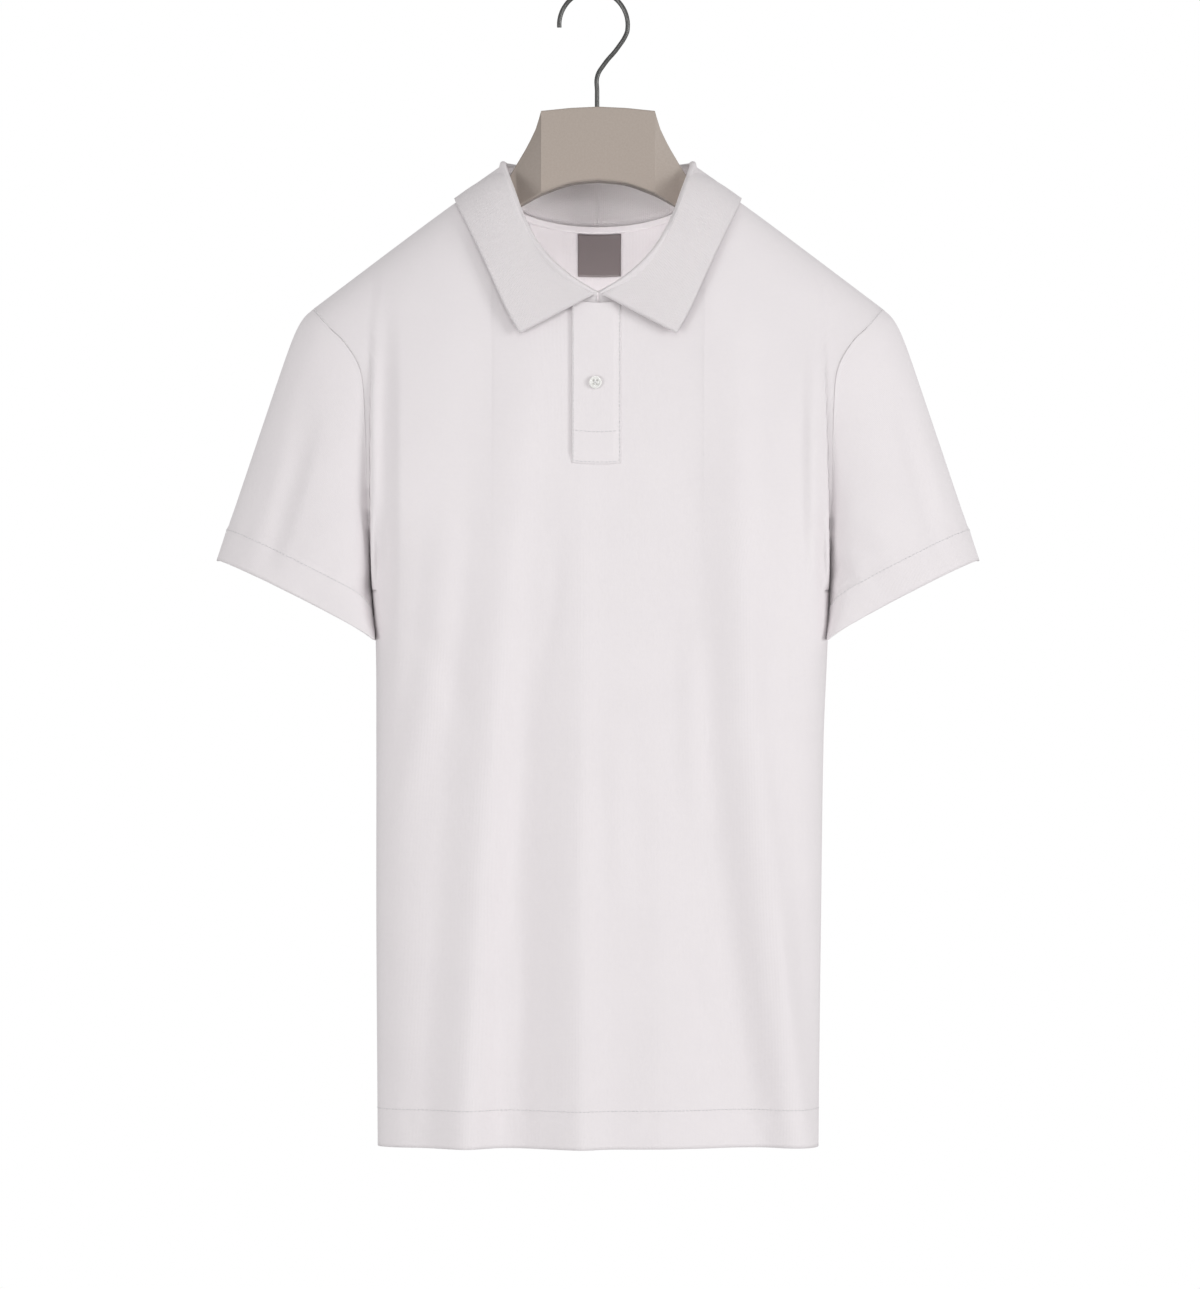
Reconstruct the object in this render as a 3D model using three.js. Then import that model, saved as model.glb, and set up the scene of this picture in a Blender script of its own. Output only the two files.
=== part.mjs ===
// A short-sleeved knit polo shirt on a plastic hanger with a wire hook.
// Millimetres, +Z up. The front faces -Y and +X is to the viewer's right.
// The origin is the inside top of the hook, so the shirt lies below it.

import * as THREE from 'three';

// Cloth
const knit = 1.2;
const rib = 1.8;
const band = 1.4;
const trim = 1.0;
const seamGap = 0.3;
const layGap = 0.4;

// Beside the gap, what a wall's start keeps from the edge that it is sewn to, so that its flat
// facets clear that edge all along
const seamEase = 0.35;

// Body
const hemLevel = -863;
const hemRise = 3;
const underarmLevel = -448;
const sideRow = 12;
const bodyHalf = 165;
const boxiness = 4.2;
const shoulderDepth = 170;

// Shoulders and neck
const ridgeTop = -134.5;
const ridgeSlope = 0.76;
const ridgeSoftness = 16;
const neckHalf = 78;
const frontNeckDrop = 95;
const backNeckDrop = 31.5;
const neckColumn = 18;
const wingColumn = 12;
const ridgeRounds = 30;

// Rows of a panel from the underarm to its top, as parts of that height: close together at both
// ends, where the armhole's oval turns, with one more at the crown of the shoulder
const armholeSteps = 8;
const crownPart = 0.995;
const armholeParts = [];
for (let k = 1; k < armholeSteps; k += 1) armholeParts.push((1 - Math.cos(Math.PI * k / armholeSteps)) / 2);
armholeParts.push(crownPart, 1);
const armholeRow = armholeParts.length;

// Armholes and sleeves
const armholeDepth = 40;
const cuffTop = { x: 285.5, z: -426 };
const cuffBottom = { x: 173, z: -484 };
const cuffDepth = 43;
const cuffArch = 4;
const capFullness = 8.5;
const capRoll = 0.05;
const capLean = 0.4;
const sleeveFullness = 6;
const sleeveRings = [0, 0.05, 0.13, 0.25, 0.4, 0.6, 0.8, 1];

// Side seams and armholes seen from the front, as widths to each side, and the flanks where
// the flat of the front and back turns back: at the side seam, but short of the shoulder's armhole
const sideOutline = [
  { z: -863, left: 164, right: 164, leftFlank: 164, rightFlank: 164 },
  { z: -700, left: 165, right: 166, leftFlank: 165, rightFlank: 166 },
  { z: -560, left: 165, right: 168, leftFlank: 165, rightFlank: 168 },
  { z: -487, left: 165.5, right: 171, leftFlank: 165.5, rightFlank: 171 },
  { z: -448, left: 168, right: 172, leftFlank: 168, rightFlank: 172 },
  { z: -380, left: 171, right: 173.5, leftFlank: 168.5, rightFlank: 170.5 },
  { z: -304, left: 173.5, right: 175, leftFlank: 168, rightFlank: 168 },
  { z: -281, left: 177.5, right: 178.5, leftFlank: 167.5, rightFlank: 167.5 },
  { z: -262, left: 190, right: 190, leftFlank: 167, rightFlank: 167 },
  { z: -253, left: 199.5, right: 199.5, leftFlank: 167, rightFlank: 167 },
  { z: -237, left: 213, right: 213, leftFlank: 166, rightFlank: 166 },
];

// How far the middle of the front and of the back stand from the side seams
const bodyDepth = [
  { z: -863, front: 60, back: 58 },
  { z: -600, front: 60, back: 56 },
  { z: -450, front: 60, back: 55 },
  { z: -360, front: 58, back: 54 },
  { z: -250, front: 53, back: 50 },
  { z: -130, front: 50, back: 48 },
];

// Long soft folds: where each crosses the chest, the waist and the hem, how far it
// stands out there (or in, below zero) and how far it spreads to each side
const foldChest = -330;
const foldWaist = -560;
const foldUpright = 40;
const foldGrowth = 0.8;
const frontFolds = [
  { chest: -62, waist: -81, hem: -99, starts: -235, rise: 8, leftSpread: 34, rightSpread: 30 },
  { chest: -42, waist: -58, hem: -66, starts: -400, rise: -3, leftSpread: 26, rightSpread: 24 },
  { chest: -10, waist: -13, hem: -11, starts: -330, rise: 10, leftSpread: 48, rightSpread: 64 },
  { chest: 40, waist: 44, hem: 48, starts: -480, rise: 5, leftSpread: 44, rightSpread: 60 },
  { chest: 72, waist: 76, hem: 116, starts: -300, rise: -6, leftSpread: 46, rightSpread: 34 },
  { chest: 104, waist: 112, hem: 155, starts: -235, rise: 7, leftSpread: 34, rightSpread: 20 },
];
const backFolds = [
  { chest: -96, waist: -112, hem: -128, starts: -260, rise: 7, leftSpread: 26, rightSpread: 34 },
  { chest: -50, waist: -58, hem: -70, starts: -360, rise: -5, leftSpread: 34, rightSpread: 34 },
  { chest: -14, waist: -8, hem: -20, starts: -300, rise: 8, leftSpread: 38, rightSpread: 46 },
  { chest: 46, waist: 52, hem: 44, starts: -420, rise: -5, leftSpread: 36, rightSpread: 36 },
  { chest: 88, waist: 96, hem: 102, starts: -250, rise: 9, leftSpread: 40, rightSpread: 30 },
];

// Placket, label, tape and button. An inset is a part of a panel's row or column.
const placketLeft = -19.5;
const placketRight = 17;
const placketFoot = -356;
const topInset = 0.04;
const edgeInset = 0.03;
const footInset = 0.02;
const buttonRadius = 4.8;
const buttonThickness = 2.2;
const buttonHoleRadius = 0.75;
const buttonHoleSpread = 1.3;
const buttonAcross = -2;
const buttonLevel = -295.5;
const labelLeft = -15.3;
const labelRight = 17.3;
const labelTop = -178.5;
const labelFoot = -210;
const tapeHeight = 5;
const tapeInset = 4;

// Collar: its fold line and the edge of its leaf, from the front end (turn 0)
// by the shoulder seam (turn 90) to the middle of the back (turn 180)
const foldRadius = 1.6;
const leafGap = 0.9;
const leafParts = [0.25, 0.5, 0.75, 1];
const collarFrontEnd = 0.075;
const turnNearby = 4;
const backTurn = 179;
const bodySideLimit = 0.98;
const liftStep = 0.1;
const liftRounds = 8;
const collarShape = [
  { turn: 0, foldX: 1.1, foldY: -49.5, foldZ: -228.2, leafX: 58, leafZ: -259.5, lift: 4.0 },
  { turn: 22.5, foldX: 22, foldY: -49.5, foldZ: -214.8, leafX: 68.5, leafZ: -240, lift: 3.4 },
  { turn: 45, foldX: 41, foldY: -43.5, foldZ: -196, leafX: 80, leafZ: -214, lift: 2.6 },
  { turn: 67.5, foldX: 55.5, foldY: -33, foldZ: -171, leafX: 94.5, leafZ: -182, lift: 2.6 },
  { turn: 80, foldX: 64, foldY: -20, foldZ: -148, leafX: 103.5, leafZ: -163, lift: 3.0 },
  { turn: 90, foldX: 71, foldY: -3, foldZ: -128.5, leafX: 106.3, leafZ: -154.5, lift: 2.7 },
  { turn: 100, foldX: 69, foldY: 10, foldZ: -127.5, leafX: 103.8, leafZ: -161, lift: 3.0 },
  { turn: 112.5, foldX: 62, foldY: 20, foldZ: -127.5, leafX: 96, leafZ: -170, lift: 2.6 },
  { turn: 135, foldX: 46, foldY: 30, foldZ: -128, leafX: 68, leafZ: -180, lift: 2.6 },
  { turn: 157.5, foldX: 24, foldY: 36, foldZ: -129, leafX: 34, leafZ: -184, lift: 2.6 },
  { turn: 180, foldX: 0, foldY: 38, foldZ: -129.5, leafX: 0, leafZ: -185, lift: 2.6 },
];

// Hanger, to each side of its middle: top and underside of the plate, and half its depth.
// Out from the neck the top follows the shoulder seams instead.
const hangerShape = [
  { x: 0, top: -86, under: -141.8, half: 8.5 },
  { x: 21, top: -87, under: -144.2, half: 8.5 },
  { x: 41.5, top: -89.3, under: -151.5, half: 8.5 },
  { x: 44.3, top: -95.3, under: -152.9, half: 8.1 },
  { x: 46.7, top: -102.8, under: -154.2, half: 7.8 },
  { x: 50.3, top: -110.3, under: -156.3, half: 7.3 },
  { x: 54.3, top: -117.8, under: -158.6, half: 6.8 },
  { x: 59.3, top: -126, under: -161.7, half: 6.2 },
  { x: 65, top: -135.5, under: -165.5, half: 5.8 },
  { x: 72, top: -144.8, under: -170.5, half: 5.6 },
  { x: 82, top: -149.4, under: -175.5, half: 5.6 },
];
const hangerArmStops = [92, 106, 122, 142, 164, 182, 191, 196];
const hangerArmHeight = { neck: 25, tip: 15 };
const hangerArmHalf = { neck: 5.6, tip: 4.4 };
const hangerEdgeRadius = 3;
const hangerClearance = 2.1;
const hangerTipClosing = 3;
const hangerEdgePart = 0.9;

// Hook
const wireRadius = 2.05;
const hookRadius = 25.7;
const hookCentre = { x: -3.4, z: -hookRadius + wireRadius };
const hookTipAngle = 184;
const hookNeckAngle = -12;
const stemFoot = -85.7;
const stemAcross = -0.7;
const stemPath = [
  { x: stemAcross, z: stemFoot },
  { x: stemAcross, z: -74 },
  { x: -0.5, z: -62.5 },
  { x: 5, z: -53 },
  { x: 14.5, z: -41.5 },
];

// A value read from a table of rows along one column, on a smooth curve through the rows
function readTable(table, key, column, at) {
  const rows = [...table].sort((a, b) => a[key] - b[key]);
  const clamped = Math.min(Math.max(at, rows[0][key]), rows[rows.length - 1][key]);
  let i = 0;
  while (i < rows.length - 2 && rows[i + 1][key] < clamped) i += 1;
  const slope = (k) => {
    const before = rows[Math.max(k - 1, 0)];
    const after = rows[Math.min(k + 1, rows.length - 1)];
    return (after[column] - before[column]) / (after[key] - before[key]);
  };
  const span = rows[i + 1][key] - rows[i][key];
  const t = (clamped - rows[i][key]) / span;
  const rise = rows[i + 1][column] - rows[i][column];
  const blend = t * t * (3 - 2 * t);
  const leave = t * (1 - t) * (1 - t) * slope(i) * span;
  const arrive = t * t * (t - 1) * slope(i + 1) * span;
  return rows[i][column] + rise * blend + leave + arrive;
}

// The line of the shoulder seams: sloping, and rounded off where the neck rises
function ridge(x) {
  const out = Math.abs(x) - neckHalf;
  return ridgeTop - ridgeSlope * (out + Math.hypot(out, ridgeSoftness)) / 2;
}

function across(s, z) {
  const edge = readTable(sideOutline, 'z', s < 0 ? 'left' : 'right', z);
  return s * bodyHalf + Math.sign(s) * (edge - bodyHalf) * Math.abs(s) ** 5;
}

function bell(distance, spread) {
  return Math.abs(distance) < spread ? (1 + Math.cos(Math.PI * distance / spread)) / 2 : 0;
}

// A fold's place across the body at a height: a curve through the chest, the waist and the hem
function foldPlace(fold, z) {
  const a = (z - foldWaist) * (z - hemLevel) / ((foldChest - foldWaist) * (foldChest - hemLevel));
  const b = (z - foldChest) * (z - hemLevel) / ((foldWaist - foldChest) * (foldWaist - hemLevel));
  const c = (z - foldChest) * (z - foldWaist) / ((hemLevel - foldChest) * (hemLevel - foldWaist));
  return a * fold.chest + b * fold.waist + c * fold.hem;
}

function foldRelief(folds, x, z) {
  let relief = 0;
  for (const fold of folds) {
    if (z < fold.starts) {
      const grown = ((fold.starts - z) / (fold.starts - hemLevel)) ** foldGrowth;
      const off = x - foldPlace(fold, Math.min(z, foldChest + foldUpright));
      relief += fold.rise * grown * bell(off, off < 0 ? fold.leftSpread : fold.rightSpread);
    }
  }
  return relief;
}

// Half the depth of the sleeve's top and of the armhole: an oval from the shoulder seam to the underarm
function armholeHalf(x, z) {
  const top = ridge(x);
  const t = (z - underarmLevel) / (top - underarmLevel);
  return t > 0 && t < 1 ? armholeDepth * Math.sqrt(1 - (2 * t - 1) ** 2) : 0;
}

// How full the body is below the shoulder seam, from 0 at the seam to 1
function fullness(drop) {
  const left = 1 - Math.min(Math.max(drop, 0), shoulderDepth) / shoulderDepth;
  return Math.sqrt(1 - left * left);
}

function crossing(s) {
  return Math.max(1 - Math.abs(s) ** boxiness, 0) ** (1 / boxiness);
}

// The middle of the cloth. The side is -1 on the front and +1 on the back. The flat of the panel turns
// back at its flank: at the side seam and the armhole, but short of the armhole near the shoulder.
function bodyPoint(side, s, z) {
  const x = across(s, z);
  const depth = readTable(bodyDepth, 'z', side < 0 ? 'front' : 'back', z);
  const full = depth * fullness(ridge(x) - z);
  const edge = armholeHalf(x, z);
  const flank = readTable(sideOutline, 'z', s < 0 ? 'leftFlank' : 'rightFlank', z);
  const flat = crossing(Math.min(Math.abs(x) / flank, 1));
  const relief = foldRelief(side < 0 ? frontFolds : backFolds, x, z) * Math.sqrt(flat);
  return new THREE.Vector3(x, side * (edge + (full - edge) * flat + relief), z);
}

// Columns across a panel, from -1 at one side to +1 at the other, with the neck's own in the middle
const neckEdge = neckHalf / bodyHalf;
function panelColumns() {
  const wing = [];
  const turned = (a) => Math.sin(a) ** (2 / boxiness);
  const first = Math.asin(neckEdge ** (boxiness / 2));
  for (let k = 1; k <= wingColumn; k += 1) {
    wing.push(turned(first + (Math.PI / 2 - first) * (k / wingColumn)));
  }
  const neck = [];
  for (let k = 0; k <= neckColumn; k += 1) {
    neck.push(neckEdge * Math.sin(Math.PI * (k / neckColumn - 0.5)));
  }
  return [...wing.map((s) => -s).reverse(), ...neck, ...wing];
}
const columns = panelColumns();
const neckFirst = wingColumn;
const neckLast = wingColumn + neckColumn;

// The top edge of a panel: the shoulder seam, and the neckline between the two
function panelTop(side, s) {
  const onRidge = Math.max(Math.abs(s), neckEdge) * Math.sign(s || 1);
  let z = ridgeTop;
  for (let k = 0; k < ridgeRounds; k += 1) z = ridge(across(onRidge, z));
  if (Math.abs(s) >= neckEdge) return z;
  const drop = side < 0 ? frontNeckDrop : backNeckDrop;
  return z - drop * Math.sqrt(1 - (s / neckEdge) ** 2);
}

function panelGrid(side) {
  const grid = [];
  for (let i = 0; i <= sideRow + armholeRow; i += 1) {
    const row = [];
    for (const s of columns) {
      let z = hemLevel + (underarmLevel - hemLevel) * (i / sideRow);
      z += hemRise * crossing(s) * Math.max(1 - i / sideRow, 0) ** 3;
      if (i > sideRow) {
        const part = armholeParts[i - sideRow - 1];
        z = underarmLevel + (panelTop(side, s) - underarmLevel) * part;
      }
      row.push(bodyPoint(side, s, z));
    }
    grid.push(side < 0 ? row : row.reverse());
  }
  return grid;
}

// Normals of a grid of points, at its points
function gridNormals(grid, ring) {
  const lastRow = grid.length - 1;
  const count = grid[0].length;
  const wrap = (j) => (ring ? (j + count) % count : Math.min(Math.max(j, 0), count - 1));
  return grid.map((row, i) => row.map((point, j) => {
    const along = new THREE.Vector3().subVectors(row[wrap(j + 1)], row[wrap(j - 1)]);
    const up = new THREE.Vector3().subVectors(
      grid[Math.min(i + 1, lastRow)][j],
      grid[Math.max(i - 1, 0)][j],
    );
    return along.cross(up).normalize();
  }));
}

// A wall of cloth to both sides of a grid of points. In a ring, the columns run all the way round.
function clothWall(grid, normals, thickness, { ring = false, isCloth = () => true } = {}) {
  const rows = grid.length;
  const count = grid[0].length;
  const cellColumns = ring ? count : count - 1;
  const positions = [];
  const index = [];
  const used = new Map();
  const vertex = (i, j, face) => {
    const key = `${i},${(j + count) % count},${face}`;
    if (!used.has(key)) {
      used.set(key, positions.length / 3);
      const jj = (j + count) % count;
      const point = grid[i][jj].clone().addScaledVector(normals[i][jj], face * thickness / 2);
      positions.push(point.x, point.y, point.z);
    }
    return used.get(key);
  };
  const there = (i, j) => {
    const jj = ring ? (j + count) % count : j;
    return i >= 0 && i < rows - 1 && jj >= 0 && jj < cellColumns && isCloth(i, jj);
  };
  for (let i = 0; i < rows - 1; i += 1) {
    for (let j = 0; j < cellColumns; j += 1) {
      if (!there(i, j)) continue;
      const corners = [[i, j], [i, j + 1], [i + 1, j + 1], [i + 1, j]];
      const [a, b, c, d] = corners.map(([r, q]) => vertex(r, q, 1));
      const [e, f, g, h] = corners.map(([r, q]) => vertex(r, q, -1));
      index.push(a, b, c, a, c, d, e, g, f, e, h, g);
      const edges = [[a, b, e, f, i - 1, j], [b, c, f, g, i, j + 1]];
      edges.push([c, d, g, h, i + 1, j], [d, a, h, e, i, j - 1]);
      for (const [p, q, pin, qin, ni, nj] of edges) {
        if (!there(ni, nj)) index.push(q, p, pin, q, pin, qin);
      }
    }
  }
  const geometry = new THREE.BufferGeometry();
  geometry.setAttribute('position', new THREE.Float32BufferAttribute(positions, 3));
  geometry.setIndex(index);
  geometry.computeVertexNormals();
  return geometry;
}

// A point and its normal on a grid at fractional places
function onGrid(grid, i, j) {
  const i0 = Math.min(Math.floor(i), grid.length - 2);
  const j0 = Math.min(Math.floor(j), grid[0].length - 2);
  const low = grid[i0][j0].clone().lerp(grid[i0][j0 + 1], j - j0);
  const high = grid[i0 + 1][j0].clone().lerp(grid[i0 + 1][j0 + 1], j - j0);
  return low.lerp(high, i - i0);
}

// The places from one fractional place to another, with the whole ones between them
function places(from, to) {
  const list = [from];
  for (let k = Math.ceil(from + footInset); k < to - footInset; k += 1) list.push(k);
  list.push(to);
  return list;
}

// A piece that lies on a panel: the panel's own points, moved out by the lift
function layOn(panel, rows, cols, lift) {
  return rows.map((i) => cols.map((j) => {
    const normal = onGrid(panel.normals, i, j).normalize();
    return onGrid(panel.grid, i, j).addScaledVector(normal, lift);
  }));
}

// The fractional column where a panel's row crosses x, and the fractional row where a column crosses z
function columnAt(panel, x, row) {
  const points = panel.grid[row];
  for (let j = 0; j < points.length - 1; j += 1) {
    const t = (x - points[j].x) / (points[j + 1].x - points[j].x);
    if (t >= 0 && t <= 1) return j + t;
  }
  throw new Error(`no column at ${x}`);
}
function rowAt(panel, z, column) {
  const j = Math.round(column);
  for (let i = 0; i < panel.grid.length - 1; i += 1) {
    const t = (z - panel.grid[i][j].z) / (panel.grid[i + 1][j].z - panel.grid[i][j].z);
    if (t >= 0 && t <= 1) return i + t;
  }
  throw new Error(`no row at ${z}`);
}

// Front and back panels. Their edges stop half a gap short of the side and shoulder seams.
function makePanel(side) {
  const grid = panelGrid(side);
  const normals = gridNormals(grid, false);
  const last = columns.length - 1;
  const top = grid.length - 1;
  const setBack = side * seamGap / 2;
  for (let i = 0; i <= top; i += 1) {
    for (const j of [0, last]) {
      const onSideSeam = i <= sideRow || i === top;
      if (onSideSeam) {
        grid[i][j].y = setBack;
        normals[i][j].setY(0).normalize();
      }
    }
  }
  for (let j = 0; j <= last; j += 1) {
    if (j <= neckFirst || j >= neckLast) {
      grid[top][j].y = setBack;
      normals[top][j].setY(0).normalize();
    }
  }
  return { grid, normals };
}
const front = makePanel(-1);
const back = makePanel(1);
const topRow = sideRow + armholeRow;

// The slit behind the placket: the two middle columns, down to the row above the placket's foot
const middle = (columns.length - 1) / 2;
const slitRow = Math.ceil(rowAt(front, placketFoot, middle));
const inSlit = (i, j) => i >= slitRow && (j === middle - 1 || j === middle);

const placketSpan = places(columnAt(front, placketLeft, slitRow), columnAt(front, placketRight, slitRow));
const placketRows = places(rowAt(front, placketFoot, middle), topRow - topInset);
const underSpan = places(middle - 1 + edgeInset, middle + 1 - edgeInset);
const underRows = places(slitRow + footInset, topRow);

// Where a wall starts that is sewn to another wall's edge: past the edge, and beside it where it turns back
function pastEdge(edge, ahead, outward, leaving, halfOwn, halfOther) {
  const sine = leaving.dot(outward);
  const cosine = leaving.dot(ahead);
  const turn = Math.abs(Math.atan2(sine, cosine));
  let beside = 0;
  if (turn > Math.PI / 2) {
    const clear = seamGap * Math.abs(Math.tan(turn));
    beside = Math.max(halfOther + seamGap - halfOwn * Math.cos(turn) - clear, 0) * Math.sign(sine);
  }
  const forward = seamGap + seamEase + halfOwn * Math.sin(turn);
  return edge.clone().addScaledVector(ahead, forward).addScaledVector(outward, beside);
}

function perpendicular(vector, axis) {
  return vector.clone().addScaledVector(axis, -vector.dot(axis)).normalize();
}

// The armhole's edge, from the shoulder point down the front to the underarm and up the back
function armholeEdge(hand) {
  const edge = [];
  const frontColumn = hand < 0 ? 0 : columns.length - 1;
  const backColumn = columns.length - 1 - frontColumn;
  const inwards = hand < 0 ? 1 : -1;
  for (let i = topRow; i >= sideRow; i -= 1) {
    edge.push({ point: front.grid[i][frontColumn], inner: front.grid[i][frontColumn + inwards] });
  }
  for (let i = sideRow + 1; i < topRow; i += 1) {
    edge.push({ point: back.grid[i][backColumn], inner: back.grid[i][backColumn - inwards] });
  }
  edge[0] = { point: edge[0].point.clone().setY(0), inner: edge[0].inner.clone().setY(0) };
  const underarm = edge[armholeRow].point.clone().setY(0);
  edge[armholeRow] = { point: underarm, inner: front.grid[sideRow - 1][frontColumn].clone().setY(0) };
  return edge;
}

// A sleeve: rings from the armhole to the cuff. Its rings lie just outside the armhole's edge.
function makeSleeve(hand) {
  const edge = armholeEdge(hand);
  const count = edge.length;
  const topX = hand * cuffTop.x;
  const bottomX = hand * cuffBottom.x;
  const parts = [0, ...armholeParts];
  const angles = edge.map((_, k) => {
    const half = Math.acos(2 * parts[Math.abs(armholeRow - k)] - 1);
    return k <= armholeRow ? half : 2 * Math.PI - half;
  });
  const cuff = angles.map((angle) => {
    const lean = Math.cos(angle) / 2;
    const x = (topX + bottomX) / 2 + (topX - bottomX) * lean;
    const z = (cuffTop.z + cuffBottom.z) / 2 + (cuffTop.z - cuffBottom.z) * lean;
    return new THREE.Vector3(x, -cuffDepth * Math.sin(angle), z + cuffArch * Math.abs(Math.sin(angle)));
  });
  const capOut = new THREE.Vector3(hand, 0, capLean).normalize();
  const ringPoint = (w, k, start) => {
    const angle = angles[k];
    const point = start.clone().lerp(cuff[k], w);
    const cap = capFullness * (1 - w) * (1 - Math.exp(-w / capRoll));
    point.addScaledVector(capOut, cap * Math.max(Math.cos(angle), 0));
    point.y -= sleeveFullness * Math.sin(Math.PI * w) * Math.sin(angle);
    return point;
  };
  const starts = edge.map(({ point, inner }, k) => {
    const before = edge[(k + count - 1) % count].point;
    const after = edge[(k + 1) % count].point;
    const tangent = new THREE.Vector3().subVectors(after, before).normalize();
    const ahead = perpendicular(new THREE.Vector3().subVectors(point, inner), tangent);
    const leaving = perpendicular(ringPoint(sleeveRings[2], k, point).sub(point), tangent);
    const outward = new THREE.Vector3().crossVectors(tangent, ahead);
    return pastEdge(point, ahead, outward, leaving, knit / 2, knit / 2);
  });
  const grid = sleeveRings.map((w) => edge.map((_, k) => ringPoint(w, k, starts[k])));
  const facing = hand < 0 ? grid.map((row) => [...row].reverse()) : grid;
  return { grid: facing, normals: gridNormals(facing, true) };
}

// How far a point stands out from the body below the collar, as if the body went on up to the ridge
function standOff(point) {
  const side = point.y < 0 ? 'front' : 'back';
  const s = Math.min(Math.abs(point.x) / bodyHalf, bodySideLimit);
  const deep = readTable(bodyDepth, 'z', side, point.z) * crossing(s);
  const left = 1 - Math.min((ridge(point.x) - point.z) / shoulderDepth, 1);
  return (point.y / deep) ** 2 + left * left - 1;
}

function liftClear(point, lift) {
  for (let k = 0; k < liftRounds; k += 1) {
    const here = standOff(point);
    const slope = new THREE.Vector3(
      standOff(point.clone().setX(point.x + liftStep)) - here,
      standOff(point.clone().setY(point.y + liftStep)) - here,
      standOff(point.clone().setZ(point.z + liftStep)) - here,
    ).divideScalar(liftStep);
    const away = here / slope.length();
    if (away >= lift) break;
    point.addScaledVector(slope.normalize(), lift - away);
  }
  return point;
}

// Collar: one knitted piece that stands up from the neckline, folds over and falls as the leaf
function collarSection(hand, turn, seam) {
  const read = (column) => readTable(collarShape, 'turn', column, turn);
  const fold = new THREE.Vector3(hand * read('foldX'), read('foldY'), read('foldZ'));
  const nearTurn = (t) => new THREE.Vector3(
    hand * readTable(collarShape, 'turn', 'foldX', t),
    readTable(collarShape, 'turn', 'foldY', t),
    readTable(collarShape, 'turn', 'foldZ', t),
  );
  const run = nearTurn(turn + turnNearby).sub(nearTurn(turn - turnNearby)).normalize();
  let out = new THREE.Vector3(run.y, -run.x, 0).multiplyScalar(-hand).normalize();
  if (turn > backTurn) out = new THREE.Vector3(0, 1, 0);
  const up = new THREE.Vector3().crossVectors(run, out).normalize();
  if (up.z < 0) up.negate();
  const inside = fold.clone().addScaledVector(out, -foldRadius).addScaledVector(up, -foldRadius);
  const outside = fold.clone().addScaledVector(out, foldRadius).addScaledVector(up, -foldRadius);
  const section = [seam, seam.clone().lerp(inside, 0.5), inside, fold, outside];
  const lift = read('lift');
  const side = turn < 90 ? -1 : 1;
  const leafEdge = new THREE.Vector3(hand * read('leafX'), side / 2, read('leafZ'));
  const drop = ridge(leafEdge.x) - leafEdge.z;
  const deep = readTable(bodyDepth, 'z', turn < 90 ? 'front' : 'back', leafEdge.z);
  const flat = deep * crossing(Math.abs(leafEdge.x) / bodyHalf);
  if (drop > 0) leafEdge.y = side * flat * fullness(drop);
  liftClear(leafEdge, lift);
  for (const part of leafParts) {
    const point = outside.clone().lerp(leafEdge, part);
    section.push(part < 1 ? liftClear(point, lift + leafGap * (1 - part)) : leafEdge.clone());
  }
  return section;
}

// The neckline's points, from the front end on one side round the back to the front end on the other
function necklineStops() {
  const stops = [];
  const add = (hand, turn, panel, j) => {
    const point = onGrid(panel.grid, topRow, j);
    const below = onGrid(panel.grid, topRow - 1, j);
    stops.push({ hand, turn, point, below });
  };
  const turnStep = 180 / neckColumn;
  add(-1, 0, front, middle - collarFrontEnd);
  for (let j = middle - 1; j > neckFirst; j -= 1) add(-1, (middle - j) * turnStep, front, j);
  const shoulderTurn = turnStep / 2;
  add(-1, 90 - shoulderTurn, front, neckFirst + 0.5);
  add(-1, 90, front, neckFirst);
  add(-1, 90 + shoulderTurn, back, neckLast - 0.5);
  for (let j = neckLast - 1; j >= middle; j -= 1) add(-1, 180 - (j - middle) * turnStep, back, j);
  for (let j = middle - 1; j > neckFirst; j -= 1) add(1, 180 - (middle - j) * turnStep, back, j);
  add(1, 90 + shoulderTurn, back, neckFirst + 0.5);
  add(1, 90, front, neckLast);
  add(1, 90 - shoulderTurn, front, neckLast - 0.5);
  for (let j = neckLast - 1; j > middle; j -= 1) add(1, (j - middle) * turnStep, front, j);
  add(1, 0, front, middle + collarFrontEnd);
  return stops;
}

function makeCollar() {
  const stops = necklineStops();
  const sections = stops.map(({ hand, turn, point, below }, k) => {
    const before = stops[Math.max(k - 1, 0)].point;
    const after = stops[Math.min(k + 1, stops.length - 1)].point;
    const tangent = new THREE.Vector3().subVectors(after, before).normalize();
    const ahead = perpendicular(new THREE.Vector3().subVectors(point, below), tangent);
    const aim = collarSection(hand, turn, point)[2];
    const leaving = perpendicular(aim.clone().sub(point), tangent);
    const outward = new THREE.Vector3().crossVectors(tangent, ahead);
    const seam = pastEdge(point, ahead, outward, leaving, rib / 2, knit / 2);
    return collarSection(hand, turn, seam);
  });
  const grid = sections[0].map((_, row) => sections.map((section) => section[row]));
  return { grid, normals: gridNormals(grid, false) };
}

// A four-hole button, lying on the placket
function makeButton() {
  const disc = new THREE.Shape();
  disc.absarc(0, 0, buttonRadius, 0, 2 * Math.PI, false);
  for (const [x, y] of [[1, 1], [-1, 1], [-1, -1], [1, -1]]) {
    const hole = new THREE.Path();
    hole.absarc(x * buttonHoleSpread, y * buttonHoleSpread, buttonHoleRadius, 0, 2 * Math.PI, true);
    disc.holes.push(hole);
  }
  return new THREE.ExtrudeGeometry(disc, { depth: buttonThickness, bevelEnabled: false, curveSegments: 8 });
}

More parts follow.
